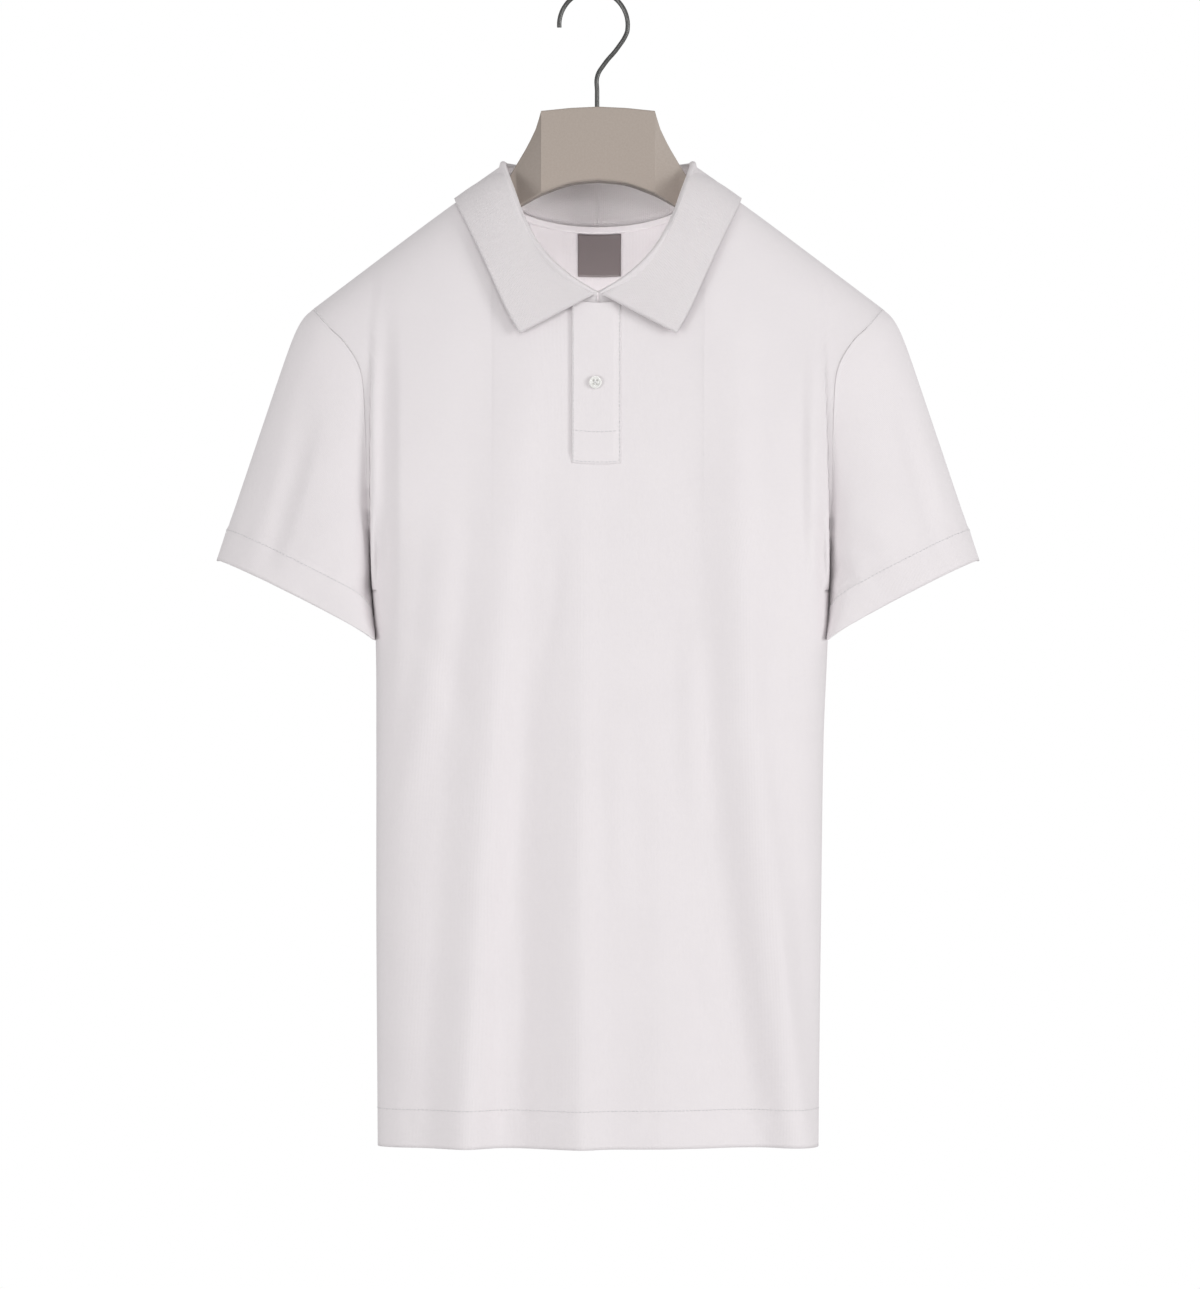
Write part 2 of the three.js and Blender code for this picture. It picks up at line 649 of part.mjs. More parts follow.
// A closed solid through rings of points, with flat ends
function loft(rings) {
  const count = rings[0].length;
  const positions = rings.flat().flatMap((point) => [point.x, point.y, point.z]);
  const index = [];
  for (let i = 0; i < rings.length - 1; i += 1) {
    for (let j = 0; j < count; j += 1) {
      const next = (j + 1) % count;
      const a = i * count + j;
      const b = i * count + next;
      index.push(a, b, b + count, a, b + count, a + count);
    }
  }
  const last = (rings.length - 1) * count;
  for (let j = 1; j < count - 1; j += 1) {
    index.push(0, j + 1, j, last, last + j, last + j + 1);
  }
  const geometry = new THREE.BufferGeometry();
  geometry.setAttribute('position', new THREE.Float32BufferAttribute(positions, 3));
  geometry.setIndex(index);
  geometry.computeVertexNormals();
  return geometry;
}

// An upright section of the hanger: a rectangle with rounded corners
function hangerSection(x, top, under, half) {
  const ring = [];
  const radius = Math.min(hangerEdgeRadius, half * hangerEdgePart);
  const middleZ = (top + under) / 2;
  const halfHeight = (top - under) / 2;
  for (const [signY, signZ, from] of [[1, 1, 0], [-1, 1, 90], [-1, -1, 180], [1, -1, 270]]) {
    for (const degrees of [0, 45, 90]) {
      const angle = THREE.MathUtils.degToRad(from + degrees);
      const y = signY * (half - radius) + radius * Math.cos(angle);
      const z = middleZ + signZ * (halfHeight - radius) + radius * Math.sin(angle);
      ring.push(new THREE.Vector3(x, y, z));
    }
  }
  return ring;
}

// Hanger: a moulded plate, broad and flat in the middle, with facets that fall back to two sloping arms
function makeHanger() {
  const right = hangerShape.map(({ x, top, under, half }) => ({ x, top, under, half }));
  const armEnd = hangerArmStops[hangerArmStops.length - 1];
  const neck = hangerShape[hangerShape.length - 1].x;
  for (const x of hangerArmStops) {
    const part = (x - neck) / (armEnd - neck);
    const top = ridge(x) - hangerClearance;
    const height = hangerArmHeight.neck + (hangerArmHeight.tip - hangerArmHeight.neck) * part;
    const half = hangerArmHalf.neck + (hangerArmHalf.tip - hangerArmHalf.neck) * part;
    const closing = x === armEnd ? hangerTipClosing : 0;
    right.push({ x, top: top - closing, under: top - height + closing, half: half - closing / 2 });
  }
  const sections = right.map((row) => hangerSection(row.x, row.top, row.under, row.half));
  const left = right.slice(1).reverse();
  const mirrored = left.map((row) => hangerSection(-row.x, row.top, row.under, row.half));
  return loft([...mirrored, ...sections]);
}

// Hook: steel wire, up from the hanger, out to the right and round over the rail
function makeHook() {
  const points = stemPath.map(({ x, z }) => new THREE.Vector3(x, 0, z));
  const arcSteps = 14;
  for (let k = 0; k <= arcSteps; k += 1) {
    const degrees = hookNeckAngle + (hookTipAngle - hookNeckAngle) * k / arcSteps;
    const angle = THREE.MathUtils.degToRad(degrees);
    const x = hookCentre.x + hookRadius * Math.cos(angle);
    points.push(new THREE.Vector3(x, 0, hookCentre.z + hookRadius * Math.sin(angle)));
  }
  const section = new THREE.Shape();
  section.absarc(0, 0, wireRadius, 0, 2 * Math.PI, false);
  const path = new THREE.CatmullRomCurve3(points, false, 'centripetal');
  return new THREE.ExtrudeGeometry(section, { steps: 40, curveSegments: 5, extrudePath: path });
}

const finishes = {
  cloth: { color: 0xebe8e9, roughness: 0.95, metalness: 0 },
  label: { color: 0x5a5254, roughness: 0.45, metalness: 0 },
  button: { color: 0xecebe2, roughness: 0.25, metalness: 0 },
  hanger: { color: 0xa89b91, roughness: 0.55, metalness: 0 },
  wire: { color: 0x4c4b4c, roughness: 0.35, metalness: 1 },
};

const polo = new THREE.Group();
function addPiece(name, geometry, finish) {
  const mesh = new THREE.Mesh(geometry, new THREE.MeshStandardMaterial(finishes[finish]));
  mesh.name = name;
  polo.add(mesh);
  return mesh;
}

function addLaid(name, panel, rows, cols, thickness, lift, finish) {
  const grid = layOn(panel, rows, cols, lift);
  addPiece(name, clothWall(grid, gridNormals(grid, false), thickness), finish);
}

const frontCloth = (i, j) => !inSlit(i, j);
addPiece('front_panel', clothWall(front.grid, front.normals, knit, { isCloth: frontCloth }), 'cloth');
addPiece('back_panel', clothWall(back.grid, back.normals, knit), 'cloth');
for (const [name, hand] of [['sleeve_left', -1], ['sleeve_right', 1]]) {
  const sleeve = makeSleeve(hand);
  addPiece(name, clothWall(sleeve.grid, sleeve.normals, knit, { ring: true }), 'cloth');
}
const collar = makeCollar();
addPiece('collar', clothWall(collar.grid, collar.normals, rib), 'cloth');

const placketLift = knit / 2 + layGap + band / 2;
addLaid('placket_upper', front, placketRows, placketSpan, band, placketLift, 'cloth');
addLaid('placket_under', front, underRows, underSpan, knit, 0, 'cloth');

// Inside the back: the tape along the neckline, and the label under it
const insideLift = -(knit / 2 + layGap + trim / 2);
const labelColumns = places(columnAt(back, labelRight, topRow - 1), columnAt(back, labelLeft, topRow - 1));
const labelRows = places(rowAt(back, labelFoot, middle), rowAt(back, labelTop, middle));
addLaid('neck_label', back, labelRows, labelColumns, trim, insideLift, 'label');
const tapeFoot = rowAt(back, back.grid[topRow][middle].z - tapeHeight, middle);
const tapeRows = [tapeFoot, topRow - edgeInset];
const tapeColumns = places(neckFirst + tapeInset, neckLast - tapeInset);
addLaid('neck_tape', back, tapeRows, tapeColumns, trim, insideLift, 'cloth');

const button = addPiece('button', makeButton(), 'button');
const buttonRow = rowAt(front, buttonLevel, middle);
const buttonColumn = columnAt(front, buttonAcross, Math.round(buttonRow));
const buttonLift = placketLift + band / 2 + layGap;
const buttonFace = onGrid(front.normals, buttonRow, buttonColumn).normalize();
button.position.copy(onGrid(front.grid, buttonRow, buttonColumn)).addScaledVector(buttonFace, buttonLift);
button.quaternion.setFromUnitVectors(new THREE.Vector3(0, 0, 1), buttonFace);

addPiece('hanger_body', makeHanger(), 'hanger');
addPiece('hanger_hook', makeHook(), 'wire');

// Everything above is placed from the shirt's middle line. The hook's middle comes to the origin.
polo.position.x = -hookCentre.x;

export default polo;
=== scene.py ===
# A white knit polo shirt on a taupe plastic hanger, hung by its wire hook.
# Blender works in metres. The cloth's own tables are in millimetres from the shirt's middle line.

import math

import bpy
import numpy as np
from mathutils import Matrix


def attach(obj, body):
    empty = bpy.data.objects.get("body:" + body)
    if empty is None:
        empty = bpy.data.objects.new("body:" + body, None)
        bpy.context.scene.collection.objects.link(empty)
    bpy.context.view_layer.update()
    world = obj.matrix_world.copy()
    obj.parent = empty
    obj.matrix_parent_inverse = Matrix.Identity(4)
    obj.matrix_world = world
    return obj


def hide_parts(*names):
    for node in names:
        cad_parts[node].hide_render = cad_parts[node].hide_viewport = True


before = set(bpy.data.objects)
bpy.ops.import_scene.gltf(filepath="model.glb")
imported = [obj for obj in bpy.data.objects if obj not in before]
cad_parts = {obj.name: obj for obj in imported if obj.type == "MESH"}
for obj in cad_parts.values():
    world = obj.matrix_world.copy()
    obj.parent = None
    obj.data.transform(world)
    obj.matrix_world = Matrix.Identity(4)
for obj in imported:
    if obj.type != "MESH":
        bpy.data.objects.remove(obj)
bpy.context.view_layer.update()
scene = bpy.context.scene
scene.view_settings.view_transform = "Standard"

# Camera: level with the middle of the shirt, straight in front of it, with a long lens.
# The picture is 1200 x 1289, and the shirt's plane fills it at 0.75 mm a pixel.
camera_distance = 3.5
picture_width = 0.9
picture_middle = (0.0049, -0.4886)
sensor = 36
camera = bpy.data.objects.new("camera", bpy.data.cameras.new("camera"))
camera.location = (picture_middle[0], -camera_distance, picture_middle[1])
camera.rotation_euler = (math.pi / 2, 0, 0)
camera.data.sensor_fit = "HORIZONTAL"
camera.data.sensor_width = sensor
camera.data.lens = sensor * camera_distance / picture_width
scene.collection.objects.link(camera)
scene.camera = camera

# Front and back: two panels of fine white cotton knit, cut from a shaped pattern and joined at the
# sides and shoulders. Their hems are turned up 27 mm and stitched. They hang from the hanger's arms
# in long soft folds.
mm = 0.001
middle_line = 3.4
knit = 1.2
seam_gap = 0.3
hem_level = -863
hem_rise = 3
underarm_level = -448
body_half = 165
boxiness = 4.2
side_sharpness = 5
shoulder_depth = 170
ridge_top = -134.5
ridge_slope = 0.76
ridge_softness = 16
drape_softness = 0.6
neck_half = 78
neck_edge = neck_half / body_half
front_neck_drop = 95
back_neck_drop = 31.5
armhole_depth = 40
armhole_softening = 0.3
flank_edge = 0.97
wing_steps = 48
neck_steps = 72
side_steps = 130
armhole_steps = 64
seam_rounds = 30


def table(columns, *rows):
    return dict(zip(columns.split(), np.array(rows, float).T))


side_outline = table(
    "z left right left_flank right_flank",
    (-863, 164, 164, 164, 164),
    (-700, 165, 166, 165, 166),
    (-560, 165, 168, 165, 168),
    (-487, 165.5, 171, 165.5, 171),
    (-448, 168, 172, 168, 172),
    (-380, 171, 173.5, 168.5, 170.5),
    (-304, 173.5, 175, 168, 168),
    (-281, 177.5, 178.5, 167.5, 167.5),
    (-262, 190, 190, 167, 167),
    (-253, 199.5, 199.5, 167, 167),
    (-237, 213, 213, 166, 166),
)
body_depth = table(
    "z front back",
    (-863, 60, 58),
    (-600, 60, 56),
    (-450, 60, 55),
    (-360, 58, 54),
    (-250, 53, 50),
    (-130, 50, 48),
)
fold_top = -290
fold_chest = -330
fold_waist = -560
fold_growth = 0.8
fold_columns = "chest waist hem starts rise left_spread right_spread"
front_folds = table(
    fold_columns,
    (-62, -81, -99, -235, 8, 34, 30),
    (-42, -58, -66, -400, -3, 26, 24),
    (-10, -13, -11, -330, 10, 48, 64),
    (40, 44, 48, -480, 5, 44, 60),
    (72, 76, 116, -300, -6, 46, 34),
    (104, 112, 155, -235, 7, 34, 20),
)
back_folds = table(
    fold_columns,
    (-96, -112, -128, -260, 7, 26, 34),
    (-50, -58, -70, -360, -5, 34, 34),
    (-14, -8, -20, -300, 8, 38, 46),
    (46, 52, 44, -420, -5, 36, 36),
    (88, 96, 102, -250, 9, 40, 30),
)
# The same folds' crests, pinched to a soft edge that leans on the steeper side
front_crests = table(
    fold_columns,
    (-53, -77, -97, -250, 4.5, 34, 24),
    (-11, -12, -11, -330, 6.5, 54, 18),
    (103, 119, 158, -240, 5.0, 40, 16),
    (38, 42, 46, -520, 2.2, 36, 26),
)
back_crests = table(
    fold_columns,
    (-96, -112, -128, -260, 4.0, 26, 34),
    (-14, -8, -20, -300, 4.5, 24, 46),
    (88, 96, 102, -250, 4.5, 44, 20),
)
# Smaller creases: where each starts and ends, how far it bows out, its half width and its rise
crease_columns = "x_from z_from x_to z_to bow spread rise"
front_creases = table(
    crease_columns,
    (-111, -380, -148, -630, 8, 20, 2.6),
    (-158, -236, -160, -520, 2, 12, -6),
    (160, -270, 162, -480, -2, 9, 4),
    (11, -540, 14, -700, 3, 16, 1.8),
    (71, -470, 74, -640, -3, 16, 2.0),
    (-66, -680, -72, -830, 3, 13, 1.6),
    (-140, -470, -92, -570, 10, 18, -0.9),
    (152, -470, 108, -585, -8, 18, -1.1),
    (-30, -400, -44, -520, 4, 12, -1.2),
    (60, -700, 92, -850, 5, 13, -1.6),
    (132, -600, 138, -800, 4, 12, 1.5),
)
back_creases = table(
    crease_columns,
    (-120, -400, -150, -640, 8, 18, 2.2),
    (158, -270, 160, -470, -2, 9, -1.8),
    (20, -520, 26, -690, 3, 16, 1.7),
    (-64, -620, -74, -830, 4, 14, -1.8),
    (138, -480, 96, -580, -9, 14, -1.5),
    (-30, -230, -70, -330, 6, 18, -1.4),
    (36, -235, 74, -350, -6, 18, -1.5),
)
crease_fade_in = (-0.12, 0.35)
crease_fade_out = (0.55, 1.15)
crease_drift = table(
    "rise across down turn",
    (0.55, 41, 173, 0.4),
    (0.4, 23, -119, 2.2),
    (0.3, 15, 67, 4.1),
)
calm_above = -200
calm_below = -290
crest_softness = 2.5
crest_sharpness = 1.7
hem_height = 27
hem_thick = 0.5
hem_turn = 1.5
hem_groove = 0.45
hem_groove_spread = 2.6
hem_pucker = 0.22
hem_pucker_spread = 16
hem_pucker_pitch = 7.3
hem_puckers = ((1, 2, 0), (0.6, 3.1, 1))


def read(rows, column, at, key="z"):
    """A value of a table's column, on a smooth curve through the rows."""
    order = np.argsort(rows[key])
    keys, values = rows[key][order], rows[column][order]
    spots = np.arange(len(keys))
    after, before = np.minimum(spots + 1, len(keys) - 1), np.maximum(spots - 1, 0)
    slopes = (values[after] - values[before]) / (keys[after] - keys[before])
    at = np.clip(at, keys[0], keys[-1])
    i = np.clip(np.searchsorted(keys, at) - 1, 0, len(keys) - 2)
    span = keys[i + 1] - keys[i]
    t = (at - keys[i]) / span
    blend = values[i] + (values[i + 1] - values[i]) * t * t * (3 - 2 * t)
    return blend + t * (1 - t) ** 2 * slopes[i] * span + t * t * (t - 1) * slopes[i + 1] * span


def ridge(x, softness=ridge_softness):
    """The line of the shoulder seams."""
    out = np.abs(x) - neck_half
    return ridge_top - ridge_slope * (out + np.hypot(out, softness)) / 2


def across(s, z):
    """The x of a place s across a panel, which goes from -1 to 1 between its sides."""
    edge = np.where(s < 0, read(side_outline, "left", z), read(side_outline, "right", z))
    return s * body_half + np.sign(s) * (edge - body_half) * np.abs(s) ** side_sharpness


def bell(distance, spread):
    """A round crest, one at its middle and nothing beyond its spread."""
    return np.where(np.abs(distance) < spread, (1 + np.cos(np.pi * distance / spread)) / 2, 0)


def smooth_step(low, high, at):
    t = np.clip((at - low) / (high - low), 0, 1)
    return t * t * (3 - 2 * t)


def pinch(distance, spread):
    """A crest with a soft edge at its top and slopes that die away."""
    away = (np.hypot(distance, crest_softness) - crest_softness) / spread
    return np.clip(1 - away, 0, 1) ** crest_sharpness


def fold_relief(folds, x, z, profile=bell):
    """Folds whose lines curve through the chest, the waist and the hem, and grow on the way down."""
    relief = np.zeros_like(z)
    low = np.minimum(z, fold_top)
    a = (low - fold_waist) * (low - hem_level) / ((fold_chest - fold_waist) * (fold_chest - hem_level))
    b = (low - fold_chest) * (low - hem_level) / ((fold_waist - fold_chest) * (fold_waist - hem_level))
    c = (low - fold_chest) * (low - fold_waist) / ((hem_level - fold_chest) * (hem_level - fold_waist))
    for k, starts in enumerate(folds["starts"]):
        grown = (np.clip(starts - z, 0, None) / (starts - hem_level)) ** fold_growth
        off = x - (a * folds["chest"][k] + b * folds["waist"][k] + c * folds["hem"][k])
        spread = np.where(off < 0, folds["left_spread"][k], folds["right_spread"][k])
        relief += folds["rise"][k] * grown * profile(off, spread)
    return relief


def crease_relief(creases, x, z):
    """Single creases, each along its own bowed line, which fade at both ends."""
    relief = np.zeros_like(z)
    for k, rise in enumerate(creases["rise"]):
        start = np.array([creases["x_from"][k], creases["z_from"][k]])
        run = np.array([creases["x_to"][k], creases["z_to"][k]]) - start
        length = np.hypot(*run)
        run /= length
        part = ((x - start[0]) * run[0] + (z - start[1]) * run[1]) / length
        off = (x - start[0]) * run[1] - (z - start[1]) * run[0]
        off += creases["bow"][k] * np.sin(np.pi * np.clip(part, 0, 1))
        fade = smooth_step(*crease_fade_in, part) * (1 - smooth_step(*crease_fade_out, part))
        relief += rise * fade * bell(off, creases["spread"][k])
    return relief


def drift_relief(x, z):
    """The slight unevenness of soft cloth between its folds."""
    waves = zip(*(crease_drift[column] for column in ("rise", "across", "down", "turn")))
    return sum(rise * np.sin(x / wide + z / tall + turn) for rise, wide, tall, turn in waves)


def hem_relief(x, up):
    """The turned hem stands out below its stitches, which pucker it a little."""
    doubled = hem_thick * (1 - smooth_step(hem_height - hem_turn, hem_height + hem_turn, up))
    pucker = sum(share * np.sin(x / hem_pucker_pitch * pace + turn) for share, pace, turn in hem_puckers)
    groove = -hem_groove * bell(up - hem_height, hem_groove_spread)
    return doubled + groove + hem_pucker * pucker * bell(up - hem_height, hem_pucker_spread)


def armhole_half(x, z, flank):
    """The armhole's oval at the edge, which dies away softly above the underarm in the panel."""
    t = np.clip((z - underarm_level) / (ridge(x) - underarm_level), 0, 1)
    open_part = smooth_step(0, armhole_softening, t)
    softened = open_part + (1 - open_part) * smooth_step(flank_edge, 1, np.abs(x) / flank)
    return armhole_depth * np.sqrt(1 - (2 * t - 1) ** 2) * softened


def fullness(drop):
    """How far the cloth has rounded out below the shoulder seam."""
    left = 1 - np.clip(drop, 0, shoulder_depth) / shoulder_depth
    return np.sqrt(1 - left * left)


def crossing(s):
    """The section across the body: a flattened oval."""
    return np.clip(1 - np.abs(s) ** boxiness, 0, None) ** (1 / boxiness)


def body_point(side, s, z, creased=True):
    """The middle of the cloth, with side -1 on the front and +1 on the back."""
    x = across(s, z)
    softness = ridge_softness + drape_softness * np.clip(ridge(x) - z, 0, None)
    full = read(body_depth, "front" if side < 0 else "back", z) * fullness(ridge(x, softness) - z)
    flank = np.where(s < 0, read(side_outline, "left_flank", z), read(side_outline, "right_flank", z))
    edge = armhole_half(x, z, flank)
    flat = crossing(np.minimum(np.abs(x) / flank, 1))
    relief = fold_relief(front_folds if side < 0 else back_folds, x, z)
    if creased:
        calm = smooth_step(calm_above, calm_below, z)
        relief = relief + crease_relief(front_creases if side < 0 else back_creases, x, z)
        relief = relief + fold_relief(front_crests if side < 0 else back_crests, x, z, pinch)
        relief = relief + drift_relief(side * x, z) * calm
        relief = relief + hem_relief(x, z - hem_level)
    return np.stack([x, side * (edge + (full - edge) * flat + relief * np.sqrt(flat)), z], -1)


def panel_top(side, s):
    """The level of a panel's top: the shoulder seams, and the neckline between them."""
    on_ridge = np.maximum(np.abs(s), neck_edge) * np.where(s < 0, -1, 1)
    z = np.full_like(s, ridge_top)
    for _ in range(seam_rounds):
        z = ridge(across(on_ridge, z))
    drop = front_neck_drop if side < 0 else back_neck_drop
    return z - drop * np.sqrt(np.clip(1 - (s / neck_edge) ** 2, 0, None))


def panel_grid(side):
    """A panel's points in rows from the hem up, and which of them lie on a seam."""
    first = math.asin(neck_edge ** (boxiness / 2))
    turn = first + (math.pi / 2 - first) * np.arange(1, wing_steps + 1) / wing_steps
    wing = np.sin(turn) ** (2 / boxiness)
    neck = neck_edge * np.sin(np.pi * (np.arange(neck_steps + 1) / neck_steps - 0.5))
    s = np.concatenate([-wing[::-1], neck, wing])
    below = np.arange(side_steps + 1)[:, None] / side_steps
    z = hem_level + (underarm_level - hem_level) * below + hem_rise * crossing(s) * (1 - below) ** 3
    part = (1 - np.cos(np.pi * np.arange(1, armhole_steps + 1) / armhole_steps))[:, None] / 2
    z = np.vstack([z, underarm_level + (panel_top(side, s) - underarm_level) * part])
    grid = body_point(side, np.broadcast_to(s, z.shape), z)
    seams = np.zeros(z.shape, bool)
    seams[: side_steps + 1, [0, -1]] = True
    seams[-1, : wing_steps + 1] = True
    seams[-1, wing_steps + neck_steps :] = True
    grid[seams, 1] = side * seam_gap / 2
    if side > 0:
        return grid[:, ::-1], seams[:, ::-1]
    return grid, seams


def unit(vectors):
    return vectors / np.maximum(np.linalg.norm(vectors, axis=-1, keepdims=True), 1e-9)


def grid_normals(grid, ring=False):
    if ring:
        run = np.roll(grid, -1, 1) - np.roll(grid, 1, 1)
    else:
        run = np.gradient(grid, axis=1)
    return unit(np.cross(run, np.gradient(grid, axis=0)))


def make_mesh(name, points, faces):
    """A mesh in metres, from points in millimetres from the shirt's middle line."""
    mesh = bpy.data.meshes.new(name)
    placed = (np.asarray(points, float) + (middle_line, 0, 0)) * mm
    mesh.from_pydata(placed.tolist(), [], [[int(v) for v in face] for face in faces])
    mesh.validate()
    mesh.polygons.foreach_set("use_smooth", [True] * len(mesh.polygons))
    piece = bpy.data.objects.new(name, mesh)
    scene.collection.objects.link(piece)
    return piece


def cloth_wall(name, grid, normals, thickness, ring=False, cut=None):
    """A wall of cloth to both sides of a grid of points, with closed edges."""
    rows, count = grid.shape[:2]
    cells = count if ring else count - 1
    there = np.zeros((rows + 1, cells + 2), bool)
    there[1:-1, 1:-1] = True if cut is None else ~cut[: rows - 1, :cells]
    if ring:
        there[:, 0], there[:, -1] = there[:, -2], there[:, 1]
    i, j = np.nonzero(there[1:-1, 1:-1])

    def at(row, column, face):
        return row * count + column % count + face * rows * count

    corners = [(i, j), (i, j + 1), (i + 1, j + 1), (i + 1, j)]
    faces = [np.stack([at(r, c, 0) for r, c in corners], 1)]
    faces.append(np.stack([at(r, c, 1) for r, c in corners[::-1]], 1))
    beyond = [(0, 1), (1, 2), (2, 1), (1, 0)]
    for k, (down, over) in enumerate(beyond):
        bare = ~there[i + down, j + over]
        (r1, c1), (r2, c2) = corners[k], corners[(k + 1) % 4]
        edge = [at(r2, c2, 0), at(r1, c1, 0), at(r1, c1, 1), at(r2, c2, 1)]
        faces.append(np.stack(edge, 1)[bare])
    half = normals * thickness / 2
    points = np.concatenate([(grid + half).reshape(-1, 3), (grid - half).reshape(-1, 3)])
    faces = np.concatenate(faces)
    used, faces = np.unique(faces, return_inverse=True)
    piece = make_mesh(name, points[used], faces.reshape(-1, 4))
    steps_down = np.linalg.norm(np.diff(grid, axis=0), axis=-1)
    steps_over = np.linalg.norm(np.diff(grid, axis=1), axis=-1)
    down = np.vstack([np.zeros(count), np.cumsum(steps_down, 0)])
    over = np.hstack([np.zeros((rows, 1)), np.cumsum(steps_over, 1)])
    over = over - over[:, [count // 2]]
    lay = np.stack([over, down], -1).reshape(-1, 2)
    lay = np.concatenate([lay, lay])[used] * mm
    layer = piece.data.uv_layers.new(name="lay")
    loops = np.zeros(len(piece.data.loops), int)
    piece.data.loops.foreach_get("vertex_index", loops)
    layer.uv.foreach_set("vector", lay[loops].astype(np.float32).ravel())
    return piece


def new_group(name, inputs, outputs):
    """A shader node group with named inputs and outputs."""
    group = bpy.data.node_groups.new(name, "ShaderNodeTree")
    for label, kind, value in inputs:
        socket = group.interface.new_socket(name=label, in_out="INPUT", socket_type=kind)
        if value is not None:
            socket.default_value = value
    for label, kind in outputs:
        group.interface.new_socket(name=label, in_out="OUTPUT", socket_type=kind)
    return group, group.nodes.new("NodeGroupInput"), group.nodes.new("NodeGroupOutput")


def math_node(tree, operation, *values):
    """A math node fed by numbers or sockets."""
    node = tree.nodes.new("ShaderNodeMath")
    node.operation = operation
    for socket, value in zip(node.inputs, values):
        if isinstance(value, (int, float)):
            socket.default_value = value
        else:
            tree.links.new(value, socket)
    return node.outputs[0]


def noise(tree, scale, detail):
    """Noise that lies through a piece in its own space."""
    speckle = tree.nodes.new("ShaderNodeTexNoise")
    speckle.inputs["Scale"].default_value = scale
    speckle.inputs["Detail"].default_value = detail
    place = tree.nodes.new("ShaderNodeTexCoord")
    tree.links.new(place.outputs["Object"], speckle.inputs["Vector"])
    return speckle.outputs[0]


def shades(tree, mask, dark, light):
    """A colour that goes from dark to light with a mask."""
    ramp = tree.nodes.new("ShaderNodeValToRGB")
    ramp.color_ramp.elements[0].color = (*dark, 1)
    ramp.color_ramp.elements[1].color = (*light, 1)
    tree.links.new(mask, ramp.inputs[0])
    return ramp.outputs[0]


def relief_on(tree, shader, height, strength, distance):
    """Fine relief in a shader's normal, its distance in metres."""
    bump = tree.nodes.new("ShaderNodeBump")
    bump.inputs["Strength"].default_value = strength
    bump.inputs["Distance"].default_value = distance
    tree.links.new(height, bump.inputs["Height"])
    tree.links.new(bump.outputs[0], shader.inputs["Normal"])


loop_size = (0.0011, 0.0009)
leg_share = 0.65
loop_share = 0.35
fuzz_scale = 420
fuzz_detail = 3
slow_scale = 24
slow_detail = 2
slow_share = 0.5


def knit_group():
    """Rows of small interlocked loops, laid by a map in metres, and the yarn's own unevenness."""
    inputs = [("Lay", "NodeSocketVector", None), ("Loop Width", "NodeSocketFloat", loop_size[0])]
    inputs += [("Loop Height", "NodeSocketFloat", loop_size[1]), ("Unevenness", "NodeSocketFloat", 0.35)]
    outputs = [("Height", "NodeSocketFloat"), ("Shade", "NodeSocketFloat")]
    group, given, made = new_group("knit", inputs, outputs)
    split = group.nodes.new("ShaderNodeSeparateXYZ")
    group.links.new(given.outputs["Lay"], split.inputs[0])
    over = math_node(group, "DIVIDE", split.outputs[0], given.outputs["Loop Width"])
    up = math_node(group, "DIVIDE", split.outputs[1], given.outputs["Loop Height"])
    wave = math_node(group, "SINE", math_node(group, "MULTIPLY", over, math.pi))
    leg = math_node(group, "ABSOLUTE", wave)
    lean = math_node(group, "MULTIPLY", leg, math.pi)
    turn = math_node(group, "ADD", math_node(group, "MULTIPLY", up, 2 * math.pi), lean)
    loops = math_node(group, "MULTIPLY", math_node(group, "SINE", turn), loop_share)
    pattern = math_node(group, "ADD", math_node(group, "MULTIPLY", leg, leg_share), loops)
    fuzz = noise(group, fuzz_scale, fuzz_detail)
    yarn = math_node(group, "MULTIPLY", fuzz, given.outputs["Unevenness"])
    group.links.new(math_node(group, "ADD", pattern, yarn), made.inputs["Height"])
    slow = math_node(group, "MULTIPLY", noise(group, slow_scale, slow_detail), slow_share)
    group.links.new(math_node(group, "ADD", slow, yarn), made.inputs["Shade"])
    return group


knit_nodes = knit_group()


def new_material(name):
    material = bpy.data.materials.new(name)
    material.use_nodes = True
    return material, material.node_tree, material.node_tree.nodes["Principled BSDF"]


def cloth_material(name, dark, light, loops, relief, strength=0.6, matt=0.92, gloss=0.2, sheen=0.25):
    """Cotton yarn, knitted: a matt, faintly sheened cloth whose loops show from close by."""
    material, tree, shader = new_material(name)
    lay = tree.nodes.new("ShaderNodeUVMap")
    lay.uv_map = "lay"
    knitted = tree.nodes.new("ShaderNodeGroup")
    knitted.node_tree = knit_nodes
    knitted.inputs["Loop Width"].default_value = loops[0]
    knitted.inputs["Loop Height"].default_value = loops[1]
    tree.links.new(lay.outputs[0], knitted.inputs["Lay"])
    tree.links.new(shades(tree, knitted.outputs["Shade"], dark, light), shader.inputs["Base Color"])
    relief_on(tree, shader, knitted.outputs["Height"], strength, relief)
    shader.inputs["Roughness"].default_value = matt
    shader.inputs["Specular IOR Level"].default_value = gloss
    shader.inputs["Sheen Weight"].default_value = sheen
    shader.inputs["Sheen Roughness"].default_value = 0.5
    return material


knit_cloth = cloth_material(
    "fine white knit", dark=(0.785, 0.745, 0.76), light=(0.84, 0.8, 0.812), loops=loop_size, relief=0.00013
)

slit_columns = 4
slit_lift = 6
placket_foot = -356
front_grid, front_seams = panel_grid(-1)
back_grid, back_seams = panel_grid(1)
middle = front_grid.shape[1] // 2
top_row = front_grid.shape[0] - 1
slit_row = int(np.argmax(front_grid[:, middle, 2] > placket_foot + slit_lift))


def panel_normals(grid, seams):
    """Normals that lie flat at the seams, so that the panels meet there."""
    normals = grid_normals(grid)
    normals[seams, 1] = 0
    return unit(normals)


